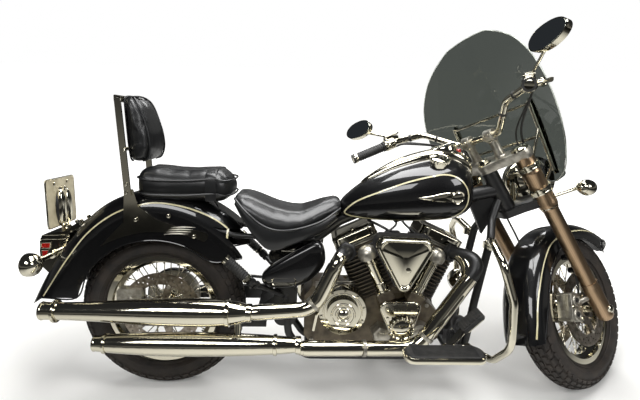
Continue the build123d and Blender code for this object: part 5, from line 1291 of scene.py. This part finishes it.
GRIP_WAY = (GRIP_OUT - GRIP_IN).normalized()
for side, letter in ((1, "l"), (-1, "r")):
    inner, outer = mirror_y(GRIP_IN, side), mirror_y(GRIP_OUT, side)
    way = (outer - inner).normalized()
    hold = Shape()
    hold.turned(inner, way, [(-3, 16), (-2, 21), (3, 21), (5, 17.2), (20, 17.6), (60, 18.2), (118, 17.6),
        (122, 17)], 32)
    hold.piece("grip_rubber_" + letter, "steering", moulded_rubber)
    ring = Shape().turned((0, 0, 0), (0, 0, 1), [(-2.6, 16.4), (-1.6, 19.3), (1.6, 19.3), (2.6, 16.4)], 28,
                          looped=True)
    row_of("grip_ribs_" + letter, ring, 12, (0, 0, 9.0), "steering", moulded_rubber,
           axes_at(inner + way * 12, way.orthogonal(), way.cross(way.orthogonal())))
    caps = Shape()
    caps.turned(outer, way, [(-4, 20), (2, 21), (9, 20.6), (15, 17), (17, 10), (17, 0)], 32)
    caps.piece("grip_caps_" + letter, "steering", chrome)
    # switch housing: two halves with a seam, buttons and a rocker
    housing = Shape()
    housing.turned(inner - way * 33, way, [(-2, 14), (0, 22), (5, 24.6), (13, 25), (14, 24.2), (15, 25),
        (23, 24.6), (28, 22), (30, 16)], 32)
    housing.piece("switch_housing_" + letter, "steering", chrome, sharp=30)
    keys = Shape()
    back = Vector((-0.86, -0.3 * side, 0.4)).normalized()
    for along, height in ((-24, 4), (-14, -5), (-24, -11)):
        keys.block(inner + way * along + back * 25 + Vector((0, 0, height)), (8, 9, 5), way, back.cross(way))
    keys.piece("switch_keys_" + letter, "steering", black_plastic, bevel=0.8)
    lever_start = inner - way * 34 + Vector((19, 35 * side, 0))
    far = outer + Vector((26, 48.7 * side, 0)) - way * 6
    lever = Shape()
    bows = [lever_start.lerp(far, share) + Vector((x, y * side, z)) for share, x, y,
        z in ((0.25, 7, 6, 1), (0.6, 3, 3, 0))]
    run = smooth_path([lever_start, *bows, far], steps=7)
    lever.swept(run, lambda share: 9.5 - 4.0 * share + (3.6 if share > 0.97 else 0), 12, squash=0.55)
    lever.turned(lever_start - Vector((0, 0, 13)), (0, 0, 1), [(0, 9), (3, 10), (23, 10), (26, 7), (26, 0)], 20)
    lever.piece("lever_blade_" + letter, "steering", chrome)
    centre = mirror_y(Vector((1016, 446, 1172)), side)
    x_way, out_way = Vector((0.2, -side * 0.98, 0)).normalized(), Vector((-0.96, -side * 0.196, 0.2)).normalized()
    up_way = out_way.cross(x_way).normalized()
    oval = [centre + x_way * 68 * cos(t) + up_way * 40 * sin(t) * (1 + 0.12 * cos(t)) for t in turns(48)]
    shell = Shape().domed(oval, centre, out_way, [(0.97, 8), (1.0, 11), (1.02, 9), (1.01, 3), (0.93, -4),
        (0.75, -9), (0.4, -11.5), (0.02, -12)])
    shell.piece("mirror_shell_" + letter, "steering", chrome)
    Shape().domed(oval, centre, out_way, [(0.96, 10.2), (0.955, 11.6), (0.5, 11.7), (0.02, 11.8)]).piece(
        "mirror_glass_" + letter, "steering", mirror_glass)
    stem = Shape()
    foot = mirror_y(GRIP_IN - GRIP_WAY * 34 + Vector((14, 0, 30)), side)
    stem.turned(foot, (0, 0, 1), [(-10, 9), (-6, 11), (4, 11), (7, 8), (12, 6)], 20)
    stem.turned(centre + Vector((8, 0, -6)), (foot - centre), [(-2, 8), (10, 10), (16, 7)], 20)
    stem.piece("mirror_feet_" + letter, "steering", chrome)

reservoir = Shape()
for side in (1, -1):
    perch = mirror_y(GRIP_IN - GRIP_WAY * 34 + Vector((8, 0, 34)), side)
    way = mirror_y(GRIP_WAY, side)
    reservoir.block(perch + Vector((0, 0, 2)), (66, 38, 5), way, Vector((0, 0, 1)).cross(way))
    for along in (-24, 24):
        reservoir.turned(perch + way * along + Vector((0, 0, 3)), (0, 0, 1), [(0, 4), (2.6, 4), (3, 2.6), (3, 0)], 12)
reservoir.piece("reservoir_lids", "steering", chrome, bevel=1.5)

# hoses and cables from the bars down to the fork and frame; they turn with the steering
hoses = Shape()
for side in (1, -1):
    for shift, radius in ((0, 4.2), (14, 3.4)):
        start = mirror_y(GRIP_IN - GRIP_WAY * (44 + shift) + Vector((14, 0, -14)), side)
        hoses.swept(smooth_path([start, start + Vector((50, -34 * side, 6)), on_fork(92 - shift,
            side * (150 - shift), 1150), on_fork(100 - shift, side * (116 - shift), 1060),
            on_fork(92, side * (92 - shift), 960), on_fork(84, side * (88 - shift), 880),
            on_fork(80, side * 84, 790)], steps=8), radius, 10)
hoses.piece("bar_hoses", "steering", moulded_rubber)
brake_hose = Shape()
for side in (1, -1):
    brake_hose.swept(smooth_path([on_fork(80, side * 84, 800), on_fork(84, side * 96, 640),
        on_fork(24, side * 104, 500), FRONT_HUB + Vector((-90, side * 92, 60)),
        FRONT_HUB + Vector((-116, side * 84, 20))], steps=8), 4.0, 10)
    brake_hose.turned(FRONT_HUB + Vector((-116, side * 84, 20)), (0.1, side, 0.2), [(-8, 7), (4, 7), (6, 5)], 12)
brake_hose.piece("brake_hoses", "steering", moulded_rubber)
band = Shape()
for side in (1, -1):
    for share in (0.35, 0.75):
        run = [on_fork(41, side * 90, 1172), Vector((1150, side * 196, 1086)), Vector((1096, side * 312, 1085))]
        spot, way = at_share(run, share)
        band.turned(spot, way, [(-5, 12.6), (-4, 14.8), (4, 14.8), (5, 12.6)], 20)
band.piece("bar_bands", "steering", moulded_rubber)

# ---------------------------------------------------------------- headlight, screen and indicators
LAMP = Vector((1500, 0, 866))
lens = Shape()
lens.turned(LAMP, (1, 0, 0), [(58, 88), (66, 87), (72, 70), (76, 40), (78, 0), (74, 0), (70, 40), (64, 70),
    (58, 85)], 64)
lens.piece("headlight_lens", "steering", lamp_glass)
bezel = Shape()
bezel.turned(LAMP, (1, 0, 0), [(44, 98), (52, 101.5), (62, 101), (68, 97), (69, 92), (66, 88), (60, 87),
    (54, 90)], 64, looped=True)
bezel.turned(LAMP, (1, 0, 0), [(20, 96), (22, 99), (28, 99), (30, 96)], 64, looped=True)
bezel.piece("headlight_bezel", "steering", chrome)
bowl = Shape()
bowl.turned(LAMP, (1, 0, 0), [(62.4, 86), (64, 60), (63, 30), (66, 12), (70, 10), (70, 0)], 48)
bowl.piece("headlight_reflector", "steering", chrome)
visor = Shape()
visor_rings = []
for along, radius in ((52, 102.6), (92, 104), (92, 101.6), (52, 100.6)):
    visor_rings.append([LAMP + Vector((along - abs(cos(t)) * 26 * (along > 60), radius * cos(t), radius * sin(t)))
                        for t in (radians(20 + 140 * k / 28) for k in range(29))])
visor.skin(visor_rings, around=False, capped=False, looped=True)
visor.piece("headlight_visor", "steering", chrome)

SCREEN_TILT = radians(20)
SCREEN_RADIUS = 555     # of its bow from side to side
SCREEN_OUT = Vector((cos(SCREEN_TILT), 0, sin(SCREEN_TILT)))
SCREEN_UP = Vector((-sin(SCREEN_TILT), 0, cos(SCREEN_TILT)))


def on_screen(out, up, ahead=0.0):
    """A point on the screen's front face, or so far ahead of it."""
    bow = sqrt(SCREEN_RADIUS ** 2 - out ** 2) - SCREEN_RADIUS
    return Vector((1452, out, 900)) + SCREEN_UP * up + SCREEN_OUT * (bow + ahead)


edge = smooth_path([(x, y, 0) for x, y in ((0, 580), (60, 576), (112, 562), (204, 494), (264, 392), (288, 270),
    (284, 150), (256, 40), (216, -36), (168, -72))], steps=8)
edge += smooth_path([(168, -72, 0), (138, -68, 0), (120, -50, 0), (112, -20, 0), (88, 40, 0), (48, 76, 0),
                     (0, 88, 0)], steps=6)[1:]
loop = edge + [Vector((-p.x, p.y, 0)) for p in edge[-2:0:-1]]
rim = Shape()
rings = []
for index, point in enumerate(loop):
    here = on_screen(point.x, point.y, -2.2)
    way = (on_screen(loop[(index + 1) % len(loop)].x, loop[(index + 1) % len(loop)].y)
           - on_screen(loop[index - 1].x, loop[index - 1].y)).normalized()
    side_way = way.cross(SCREEN_OUT).normalized()
    rings.append([here + side_way * 2.4 * cos(t) + SCREEN_OUT * 3.2 * sin(t) for t in turns(8)])
rim.skin(rings, looped=True)
# the screen's rim carries a painted highlight: pale where its edge would catch light
rim.piece("screen_edge", "steering", screen_edge)
plates = Shape()
for side in (1, -1):
    run = [on_screen(side * 176, up, 1.5) for up in (-44, 40, 130, 210, 262)]
    rings = []
    for index, point in enumerate(smooth_path(run, steps=5)):
        wide = 15 * (0.55 + 0.45 * sin(pi * min(0.97, max(0.03, index / 20))))
        across, lift = Vector((0, wide, 0)), SCREEN_OUT * 4
        rings.append([point + across, point + across + lift, point - across + lift, point - across])
    plates.skin(rings)
plates.piece("screen_strips", "steering", chrome, bevel=1.0)
bolts("screen_bolts", bolt(7, 6, 12), "steering", chrome,
      [(on_screen(side * 176, up, 5), SCREEN_OUT) for side in (1, -1) for up in (-20, 70, 150, 240)])
clamps = Shape()
for side in (1, -1):
    for up in (908, 1010):
        spot = on_fork(48, side * 130, up)
        clamps.turned(spot, UP_FORK, [(-13, 38), (-12, 41.5), (-6, 42), (-5, 41), (5, 41), (6, 42), (12, 41.5),
            (13, 38)], 40)
        clamps.block(spot - AHEAD_OF_FORK * 44, (16, 20, 18), AHEAD_OF_FORK, (0, 1, 0))
clamps.piece("screen_clamps", "steering", chrome, sharp=30)

rear_shells = Shape()
for side, letter in ((1, "l"), (-1, "r")):
    ball = Vector((1541, side * 220, 788))
    amber = Shape().turned(ball, (1, 0, 0), [(20, 25), (28, 24.6), (36, 19), (41, 9), (42, 0), (26, 0)], 36)
    amber.piece("front_indicator_lens_" + letter, "steering", amber_lens)
    shell = Shape().turned(ball, (1, 0, 0), [(31, 25), (31, 28.2), (25, 29.6), (14, 31.4), (0, 30), (-14, 24),
        (-26, 14), (-34, 6), (-36, 0)], 40)
    shell.piece("front_indicator_shell_" + letter, "steering", chrome)
    ball = Vector((-405, side * 186, 545))
    glass = Shape().turned(ball, (-1, 0, 0), [(20, 34), (29, 33), (35, 26), (38, 12), (39, 0), (24, 0)], 40)
    glass.piece("rear_indicator_lens_" + letter, "chassis", red_lens)
    rear_shells.turned(ball, (-1, 0, 0), [(26, 34), (26, 38), (22, 41), (14, 42.5), (9, 41.5), (7, 42),
        (-4, 40), (-16, 33), (-25, 21), (-31, 9), (-33, 0)], 48)
    rear_shells.turned((-406, side * 60, 548), (0, side, 0), [(-4, 11), (2, 16), (8, 16), (10, 9.6), (70, 9.6),
        (72, 13), (92, 13)], 24)
rear_shells.piece("rear_indicator_shells", "chassis", chrome, ["rear_indicators"], sharp=30)

# ---------------------------------------------------------------- plate, tail lamp and side covers
plate_trim = Shape()
edge_loop = [(-390, y, 744 + z) for y, z in rounded_rectangle(99, 91.5, 14)]
ring = []
for index, point in enumerate(edge_loop):
    out = (Vector(point) - Vector((-390, 0, 744))).normalized()
    ring.append([Vector(point) + (out * cos(t) + Vector((1, 0, 0)) * sin(t)) * 3.2 for t in turns(8)])
plate_trim.skin(ring, looped=True)
plate_trim.piece("plate_rim", "chassis", chrome)
bolts("plate_bolts", bolt(5, 4), "chassis", chrome, [((-388, y, 818), (1, 0, 0)) for y in (-45, 45)])
lamp_base = Shape()
oval = [(0, 46 * cos(t), 78 * sin(t)) for t in turns(40)]
lamp_middle = Vector((-388, 0, 722))
lamp_base.domed([lamp_middle + Vector(p) for p in oval], lamp_middle, (1, 0, 0),
                [(1.0, -2), (1.0, 6), (0.95, 10), (0.6, 13), (0.02, 14)])
lamp_base.piece("plate_lamp_base", "chassis", black_plastic)
lobes = Shape()
for middle in (-21, 21):
    lobes.skin([[lamp_middle + Vector((out, middle + p[1] * 0.44 * share, p[2] * 0.93 * share)) for p in oval]
                for share, out in ((1.0, 4), (1.0, 9), (0.95, 15), (0.8, 20), (0.55, 23.5), (0.3, 25), (0.03, 25.5))])
lobes.turned(lamp_middle + Vector((0, 0, 74)), (1, 0, 0), [(2, 9), (16, 9), (19, 6), (20, 0)], 20)
lobes.turned(lamp_middle + Vector((0, 0, -76)), (1, 0, 0), [(2, 14), (14, 14), (18, 10), (19, 0)], 20)
lobes.piece("plate_lamp_lobes", "chassis", chrome)

WINDOWS = (((-444, 592), (-410, 593), (-413, 572), (-445, 571)), ((-445, 562), (-419, 563), (-427, 541), (-445, 540)))
panes, frames = Shape(), Shape()
for side in (1, -1):
    for corners in WINDOWS:
        panes.slab(corners if side < 0 else corners[::-1], (0, side * 57, 0), (1, 0, 0), (0, 0, 1), 3.5)
        loop = [Vector((x, side * 59.5, z)) for x, z in corners]
        frames.swept(loop + [loop[0]], 2.2, 8)
pane = Shape()
pane.skin([[Vector((-out, y * share, 556 + z * share)) for y, z in rounded_rectangle(44, 46, 12)]
           for share, out in ((1.0, 450), (1.0, 458), (0.95, 461), (0.6, 463), (0.02, 463.5))])
panes.piece("tail_lamp_windows", "chassis", red_lens, bevel=0.8)
pane.piece("tail_lamp_lens", "chassis", red_lens)
for height in (622, 606):
    for side in (-1, 1):
        frames.swept([(-438, side * 60, height), (-384, side * 60, height + 1), (-352, side * 59, height + 3)],
                     1.8, 8)
frames.skin([[Vector((-out, y * share, 556 + z * share)) for y, z in rounded_rectangle(50, 52, 16)] for share,
             out in ((0.98, 448), (1.0, 452), (1.0, 456), (0.9, 459), (0.87, 456), (0.87, 448))], looped=True)
for side in (1, -1):
    frames.block((-322, side * 46, 650), (58, 16, 20), (0.86, 0, 0.51))
    for x, z, radius in ((-338, 648, 9), (-306, 667, 8)):
        frames.turned((x, side * 46, z), (-0.51, 0, 0.86), [(0, radius), (12, radius), (15, radius - 3), (15, 0)], 18)
frames.piece("tail_lamp_rims", "chassis", chrome, bevel=0.6)

COVER_LINE = smooth_path([(402, 0, 494), (410, 0, 516), (446, 0, 544), (500, 0, 578), (560, 0, 612),
    (604, 0, 634), (626, 0, 622), (636, 0, 586), (632, 0, 548), (600, 0, 504), (556, 0, 474), (500, 0, 460),
    (440, 0, 458), (412, 0, 470)], closed=True, steps=4)
COVER_MIDDLE = Vector((524, 0, 540))
covers, badges, fields = Shape(), Shape(), Shape()
cover_bolts = []
for side in (1, -1):
    covers.domed(COVER_LINE, COVER_MIDDLE, (0, side, 0), [(0.98, 120), (1.0, 124), (1.0, 148), (0.985, 156),
        (0.95, 162), (0.86, 166), (0.6, 168.5), (0.3, 169.5), (0.01, 170)])
    stadium = rounded_rectangle(46, 13.5, 13, 9)
    at = Vector((485, side * 163, 487))
    badges.skin([[at + Vector((x * share, side * out, z * share ** 0.5)) for x, z in stadium]
                 for share, out in ((1.0, 0), (1.0, 5), (0.96, 6.5), (0.9, 5), (0.9, 0))], looped=True)
    fields.skin([[at + Vector((x * share, side * out, z * share)) for x, z in stadium]
                 for share, out in ((0.92, 0), (0.92, 3.4), (0.5, 4.2), (0.02, 4.4))])
    cover_bolts.append(((416, side * 157, 491), (0, side, 0)))
covers.piece("side_cover_shells", "chassis", enamel, ["side_covers"])
badges.piece("side_badge_rims", "chassis", chrome)
fields.piece("side_badge_fields", "chassis", dark_badge)
bolts("side_cover_bolts", bolt(6, 7, 16), "chassis", engine_alloy, cover_bolts)

# ---------------------------------------------------------------- footboards, pedal and pegs
for side, body in ((1, "left_footboard"), (-1, "right_footboard")):
    middle = Vector((1033, side * 355.5, 0))
    board = rounded_rectangle(134, 44.5, 34, 9)
    rim = Shape()
    rim.skin([[middle + Vector((x * (1 + grow / 134), y * (1 + grow / 44.5), z)) for x, y in board] for grow,
              z in ((-4, 295), (2, 296), (4, 300), (4, 309), (2, 314), (-1, 315.5), (-3, 314))], capped=False)
    rim.piece(body + "_rim", body, chrome, wall=1.5)
    mat = Shape()
    mat.skin([[middle + Vector((x * share, y * share ** 2, z)) for x, y in board]
              for share, z in ((0.965, 312), (0.965, 317), (0.94, 320), (0.5, 320.5), (0.02, 320.6))])
    mat.piece(body + "_mat", body, moulded_rubber)
    rib = Shape()
    rib.skin([[(-108, -2.2, 0), (108, -2.2, 0), (108, 2.2, 0), (-108, 2.2, 0)], [(-106, -1.4, 3),
        (106, -1.4, 3), (106, 1.4, 3), (-106, 1.4, 3)]])
    row_of(body + "_ribs", rib, 10, (0, 7.6, 0), body, moulded_rubber,
           Matrix.Translation((1033, side * 355.5 - 34.2, 319.5)))
PAD_FACE, PAD_SLOPE = Vector((-0.7071, 0, 0.7071)), Vector((0.7071, 0, 0.7071))
pad_middle = Vector((1150, -284, 388)) + PAD_FACE * 14
pedal_rubber = Shape()
pedal_rubber.skin([[pad_middle + Vector((0, y * share, 0)) + PAD_SLOPE * x * share + PAD_FACE * out
                    for x, y in rounded_rectangle(44, 34, 8)]
                   for share, out in ((1.0, -9), (1.04, -7), (1.04, 2), (1.0, 5), (0.3, 5.5), (0.02, 5.5))])
pedal_rubber.piece("brake_pedal_rubber", "chassis", moulded_rubber)
rib = Shape().block((0, 0, 0), (4.5, 56, 4))
row_of("brake_pedal_ribs", rib, 7, (11, 0, 0), "chassis", moulded_rubber,
       axes_at(pad_middle + PAD_FACE * 6 - PAD_SLOPE * 33, PAD_SLOPE, (0, -1, 0)))
arm = Shape()
for y in (-262, -294):
    arm.swept([(1136, y, 380), (1100, y, 332), (1066, y, 288)], 2.2, 8)
arm.piece("brake_pedal_edges", "chassis", chrome)
web = Shape()
web.skin([[(1136, -262, 380), (1136, -294, 380), (1132, -294, 383), (1132, -262, 383)],
          [(1066, -262, 288), (1066, -294, 288), (1062, -294, 291), (1062, -262, 291)]])
web.piece("brake_pedal_arm", "chassis", frame_black)
for side, body in ((1, "left_peg"), (-1, "right_peg")):
    hinge = Vector((372, side * 190, 488))
    rest = Vector((-0.724, 0, 0.69)).normalized()
    rubber = Shape()
    profile = [(34, 10)]
    for step in range(9):
        profile += [(36 + 9.6 * step, 17.4), (38 + 9.6 * step, 19.4), (42 + 9.6 * step, 19.4),
                    (44 + 9.6 * step, 17.4)]
    rubber.turned(hinge, rest, profile + [(124, 16)], 28)
    rubber.piece(body + "_rubber", body, moulded_rubber, sharp=25)
    ends = Shape()
    ends.turned(hinge, rest, [(15, 7), (15, 13), (20, 19), (30, 19.5), (34, 17), (34, 8)], 8)
    ends.turned(hinge, rest, [(120, 15), (122, 19.6), (130, 19.6), (134, 15), (135.5, 6), (135.5, 0)], 28)
    ends.piece(body + "_ends", body, chrome, sharp=30)

# ---------------------------------------------------------------- crash bar clamps and brakes
clamps = Shape()
clamp_bolts = []
for side in (1, -1):
    for x, z in ((1262, 622), (1206, 200)):
        clamps.turned((x, side * 110, z), (0, side, 0), [(-10, 17), (-9, 20), (9, 20), (10, 17)], 28)
        clamps.block((x - 20, side * 110, z), (18, 16, 24))
        clamp_bolts.append(((x - 20, side * 110, z + 12), (0, 0, 1)))
clamps.piece("crash_bar_clamps", "chassis", chrome, sharp=30)
bolts("crash_bar_clamp_bolts", bolt(5, 5), "chassis", chrome, clamp_bolts)
calipers, caliper_bolts, plugs = Shape(), [], Shape()
CALIPER_TURN = radians(172)     # round the axle from straight ahead
out_way = Vector((cos(CALIPER_TURN), 0, sin(CALIPER_TURN)))
round_way = Vector((-sin(CALIPER_TURN), 0, cos(CALIPER_TURN)))
for side in (1, -1):
    middle = FRONT_HUB + Vector((0, side * 95.5, 0)) + out_way * 120
    body_line = [out_way * x + round_way * y for x, y in rounded_rectangle(38, 54, 14)]
    calipers.skin([[middle + p * share + Vector((0, side * out, 0)) for p in body_line] for share, out in ((1.0,
        -20), (1.03, -16), (1.03, -4), (0.98, 1), (0.9, 2), (0.4, 2.2), (0.02, 2.2))])
    for along in (-27, 27):
        spot = middle + round_way * along + out_way * 4
        calipers.turned(spot, (0, side, 0), [(-2, 24), (4, 23.5), (7, 21), (7.5, 16), (5, 14), (5, 0)], 32)
        plugs.turned(spot, (0, side, 0), [(3, 11), (7, 11), (9, 8), (9, 0)], 6)
    for across, along in ((-30, 0), (30, 0), (-30, 42), (-30, -42)):
        caliper_bolts.append((middle + out_way * across + round_way * along + Vector((0, side * 1.5, 0)),
                              (0, side, 0)))
    calipers.block(middle + out_way * 28 + Vector((0, -side * 30, 0)), (10, 104, 46), out_way, round_way)
calipers.piece("front_caliper_castings", "steering", cast_alloy, bevel=0.8, sharp=40)
plugs.piece("front_caliper_plugs", "steering", black_plastic)
bolts("front_caliper_bolts", bolt(5.5, 6), "steering", chrome, caliper_bolts)


# ---------------------------------------------------------------- floor, light and camera
FLOOR_LIFT = 0.1      # how much the near floor glows by itself


def graded(tree, value, start, end, low, high):
    """A value that goes from low to high as another goes from start to end."""
    spread = add_node(tree, "ShaderNodeMapRange", inputs={
        "Value": value, "From Min": start, "From Max": end, "To Min": low, "To Max": high})
    return spread.outputs["Result"]


def looked_at(tree):
    """The kinds of ray, and whether one comes straight from the camera or on through glass."""
    rays = add_node(tree, "ShaderNodeLightPath").outputs
    seen = add_node(tree, "ShaderNodeMath", {"operation": "MAXIMUM"},
                    {0: rays["Is Camera Ray"], 1: rays["Is Transmission Ray"]})
    return rays, seen.outputs[0]


def make_stage():
    """A pale floor that runs on into a white distance, a dark room behind it, and soft panels of light."""
    floor_paint, tree, shader, place = new_material("pale_floor", "#e4e3df", 0.0, 0.6,
        Emission_Color=(1, 1, 0.985, 1))
    ramp = blend_colours(tree, shader, noise(tree, place, 0.9, 2.0), "#e2e1dd", "#e6e5e2")
    rays, seen = looked_at(tree)
    away = add_node(tree, "ShaderNodeVectorMath", {"operation": "LENGTH"}, {0: place}).outputs["Value"]
    glow = add_node(tree, "ShaderNodeMath", {"operation": "MULTIPLY"},
                    {0: seen, 1: graded(tree, away, 1.2, 2.6, FLOOR_LIFT, 1.0)}).outputs[0]
    tree.links.new(glow, shader.inputs["Emission Strength"])
    mirrored = add_node(tree, "ShaderNodeMath", {"operation": "MULTIPLY"},
                        {0: rays["Is Glossy Ray"], 1: graded(tree, away, 1.5, 3.2, 0.0, 0.94)}).outputs[0]
    dimmed = add_node(tree, "ShaderNodeMix", {"data_type": "RGBA"}, {"Factor": mirrored})
    tree.links.new(ramp.outputs["Color"], dimmed.inputs[6])
    dimmed.inputs[7].default_value = hex_colour("#1d1c1b")
    tree.links.new(dimmed.outputs[2], shader.inputs["Base Color"])
    sheet = bpy.data.meshes.new("floor")
    reach = 30.0
    corners = [(-reach, -reach, 0), (reach, -reach, 0), (reach, reach, 0), (-reach, reach, 0)]
    sheet.from_pydata(corners, [], [(0, 1, 2, 3)])
    sheet.materials.append(floor_paint)
    floor = new_object("floor", sheet)

    world = bpy.data.worlds.new("studio")
    world.use_nodes = True
    tree = world.node_tree
    direction = add_node(tree, "ShaderNodeTexCoord").outputs["Generated"]
    height = add_node(tree, "ShaderNodeSeparateXYZ", inputs={"Vector": direction}).outputs["Z"]
    sky = add_node(tree, "ShaderNodeValToRGB", inputs={"Fac": height})
    for element, position, code in zip(sky.color_ramp.elements, (0.02, 0.22), ("#7c7b78", "#2e2f31")):
        element.position = position
        element.color = hex_colour(code)
    rays, seen = looked_at(tree)
    colour = add_node(tree, "ShaderNodeMix", {"data_type": "RGBA"}, {"Factor": seen})
    tree.links.new(sky.outputs["Color"], colour.inputs[6])
    colour.inputs[7].default_value = (1, 1, 1, 1)
    backdrop = tree.nodes["Background"]
    tree.links.new(colour.outputs[2], backdrop.inputs["Color"])
    backdrop.inputs["Strength"].default_value = 1.0
    bpy.context.scene.world = world

    def add_panel(name, at, size, watts):
        lamp = bpy.data.lights.new(name, "AREA")
        lamp.shape = "RECTANGLE"
        lamp.size, lamp.size_y = size
        lamp.energy = watts
        panel = new_object(name, lamp)
        panel.location = at
        panel.rotation_mode = "QUATERNION"
        panel.rotation_quaternion = (Vector((0, 0, 0.5)) - Vector(at)).to_track_quat("-Z", "Y")

    add_panel("top_panel", (0.1, 0.1, 3.1), (2.6, 1.2), 120)
    add_panel("key_panel", (-1.4, -3.0, 3.4), (2.4, 1.2), 85)
    add_panel("fill_panel", (2.6, -2.2, 2.6), (1.2, 1.2), 40)
    add_panel("back_panel", (0.4, 3.2, 3.0), (3.0, 1.0), 70)


def make_camera():
    """The camera stands close on the right, a little above the seat, and looks slightly down."""
    yaw, pitch, roll = radians(1.23), radians(-18.57), radians(0.89)
    stand_x, stand_y, stand_z = 0.5854, -1.5648, 1.3170      # from the point under the rear axle
    under_axle = CHASSIS @ Vector((0, 0, 0))
    look = Vector((sin(yaw) * cos(pitch), cos(yaw) * cos(pitch), sin(pitch)))
    right = Vector((cos(yaw), -sin(yaw), 0))
    up = right.cross(look)
    tipped_right = right * cos(roll) + up * sin(roll)
    tipped_up = up * cos(roll) - right * sin(roll)
    camera_data = bpy.data.cameras.new("camera")
    camera_data.sensor_width = 36.0
    camera_data.lens = 25.44
    camera = new_object("camera", camera_data)
    turn = Matrix((tipped_right, tipped_up, -look)).transposed().to_4x4()
    camera.matrix_world = Matrix.Translation((under_axle.x + stand_x, under_axle.y + stand_y, stand_z)) @ turn
    bpy.context.scene.camera = camera


make_stage()
make_camera()
bpy.context.scene.view_settings.view_transform = "Standard"
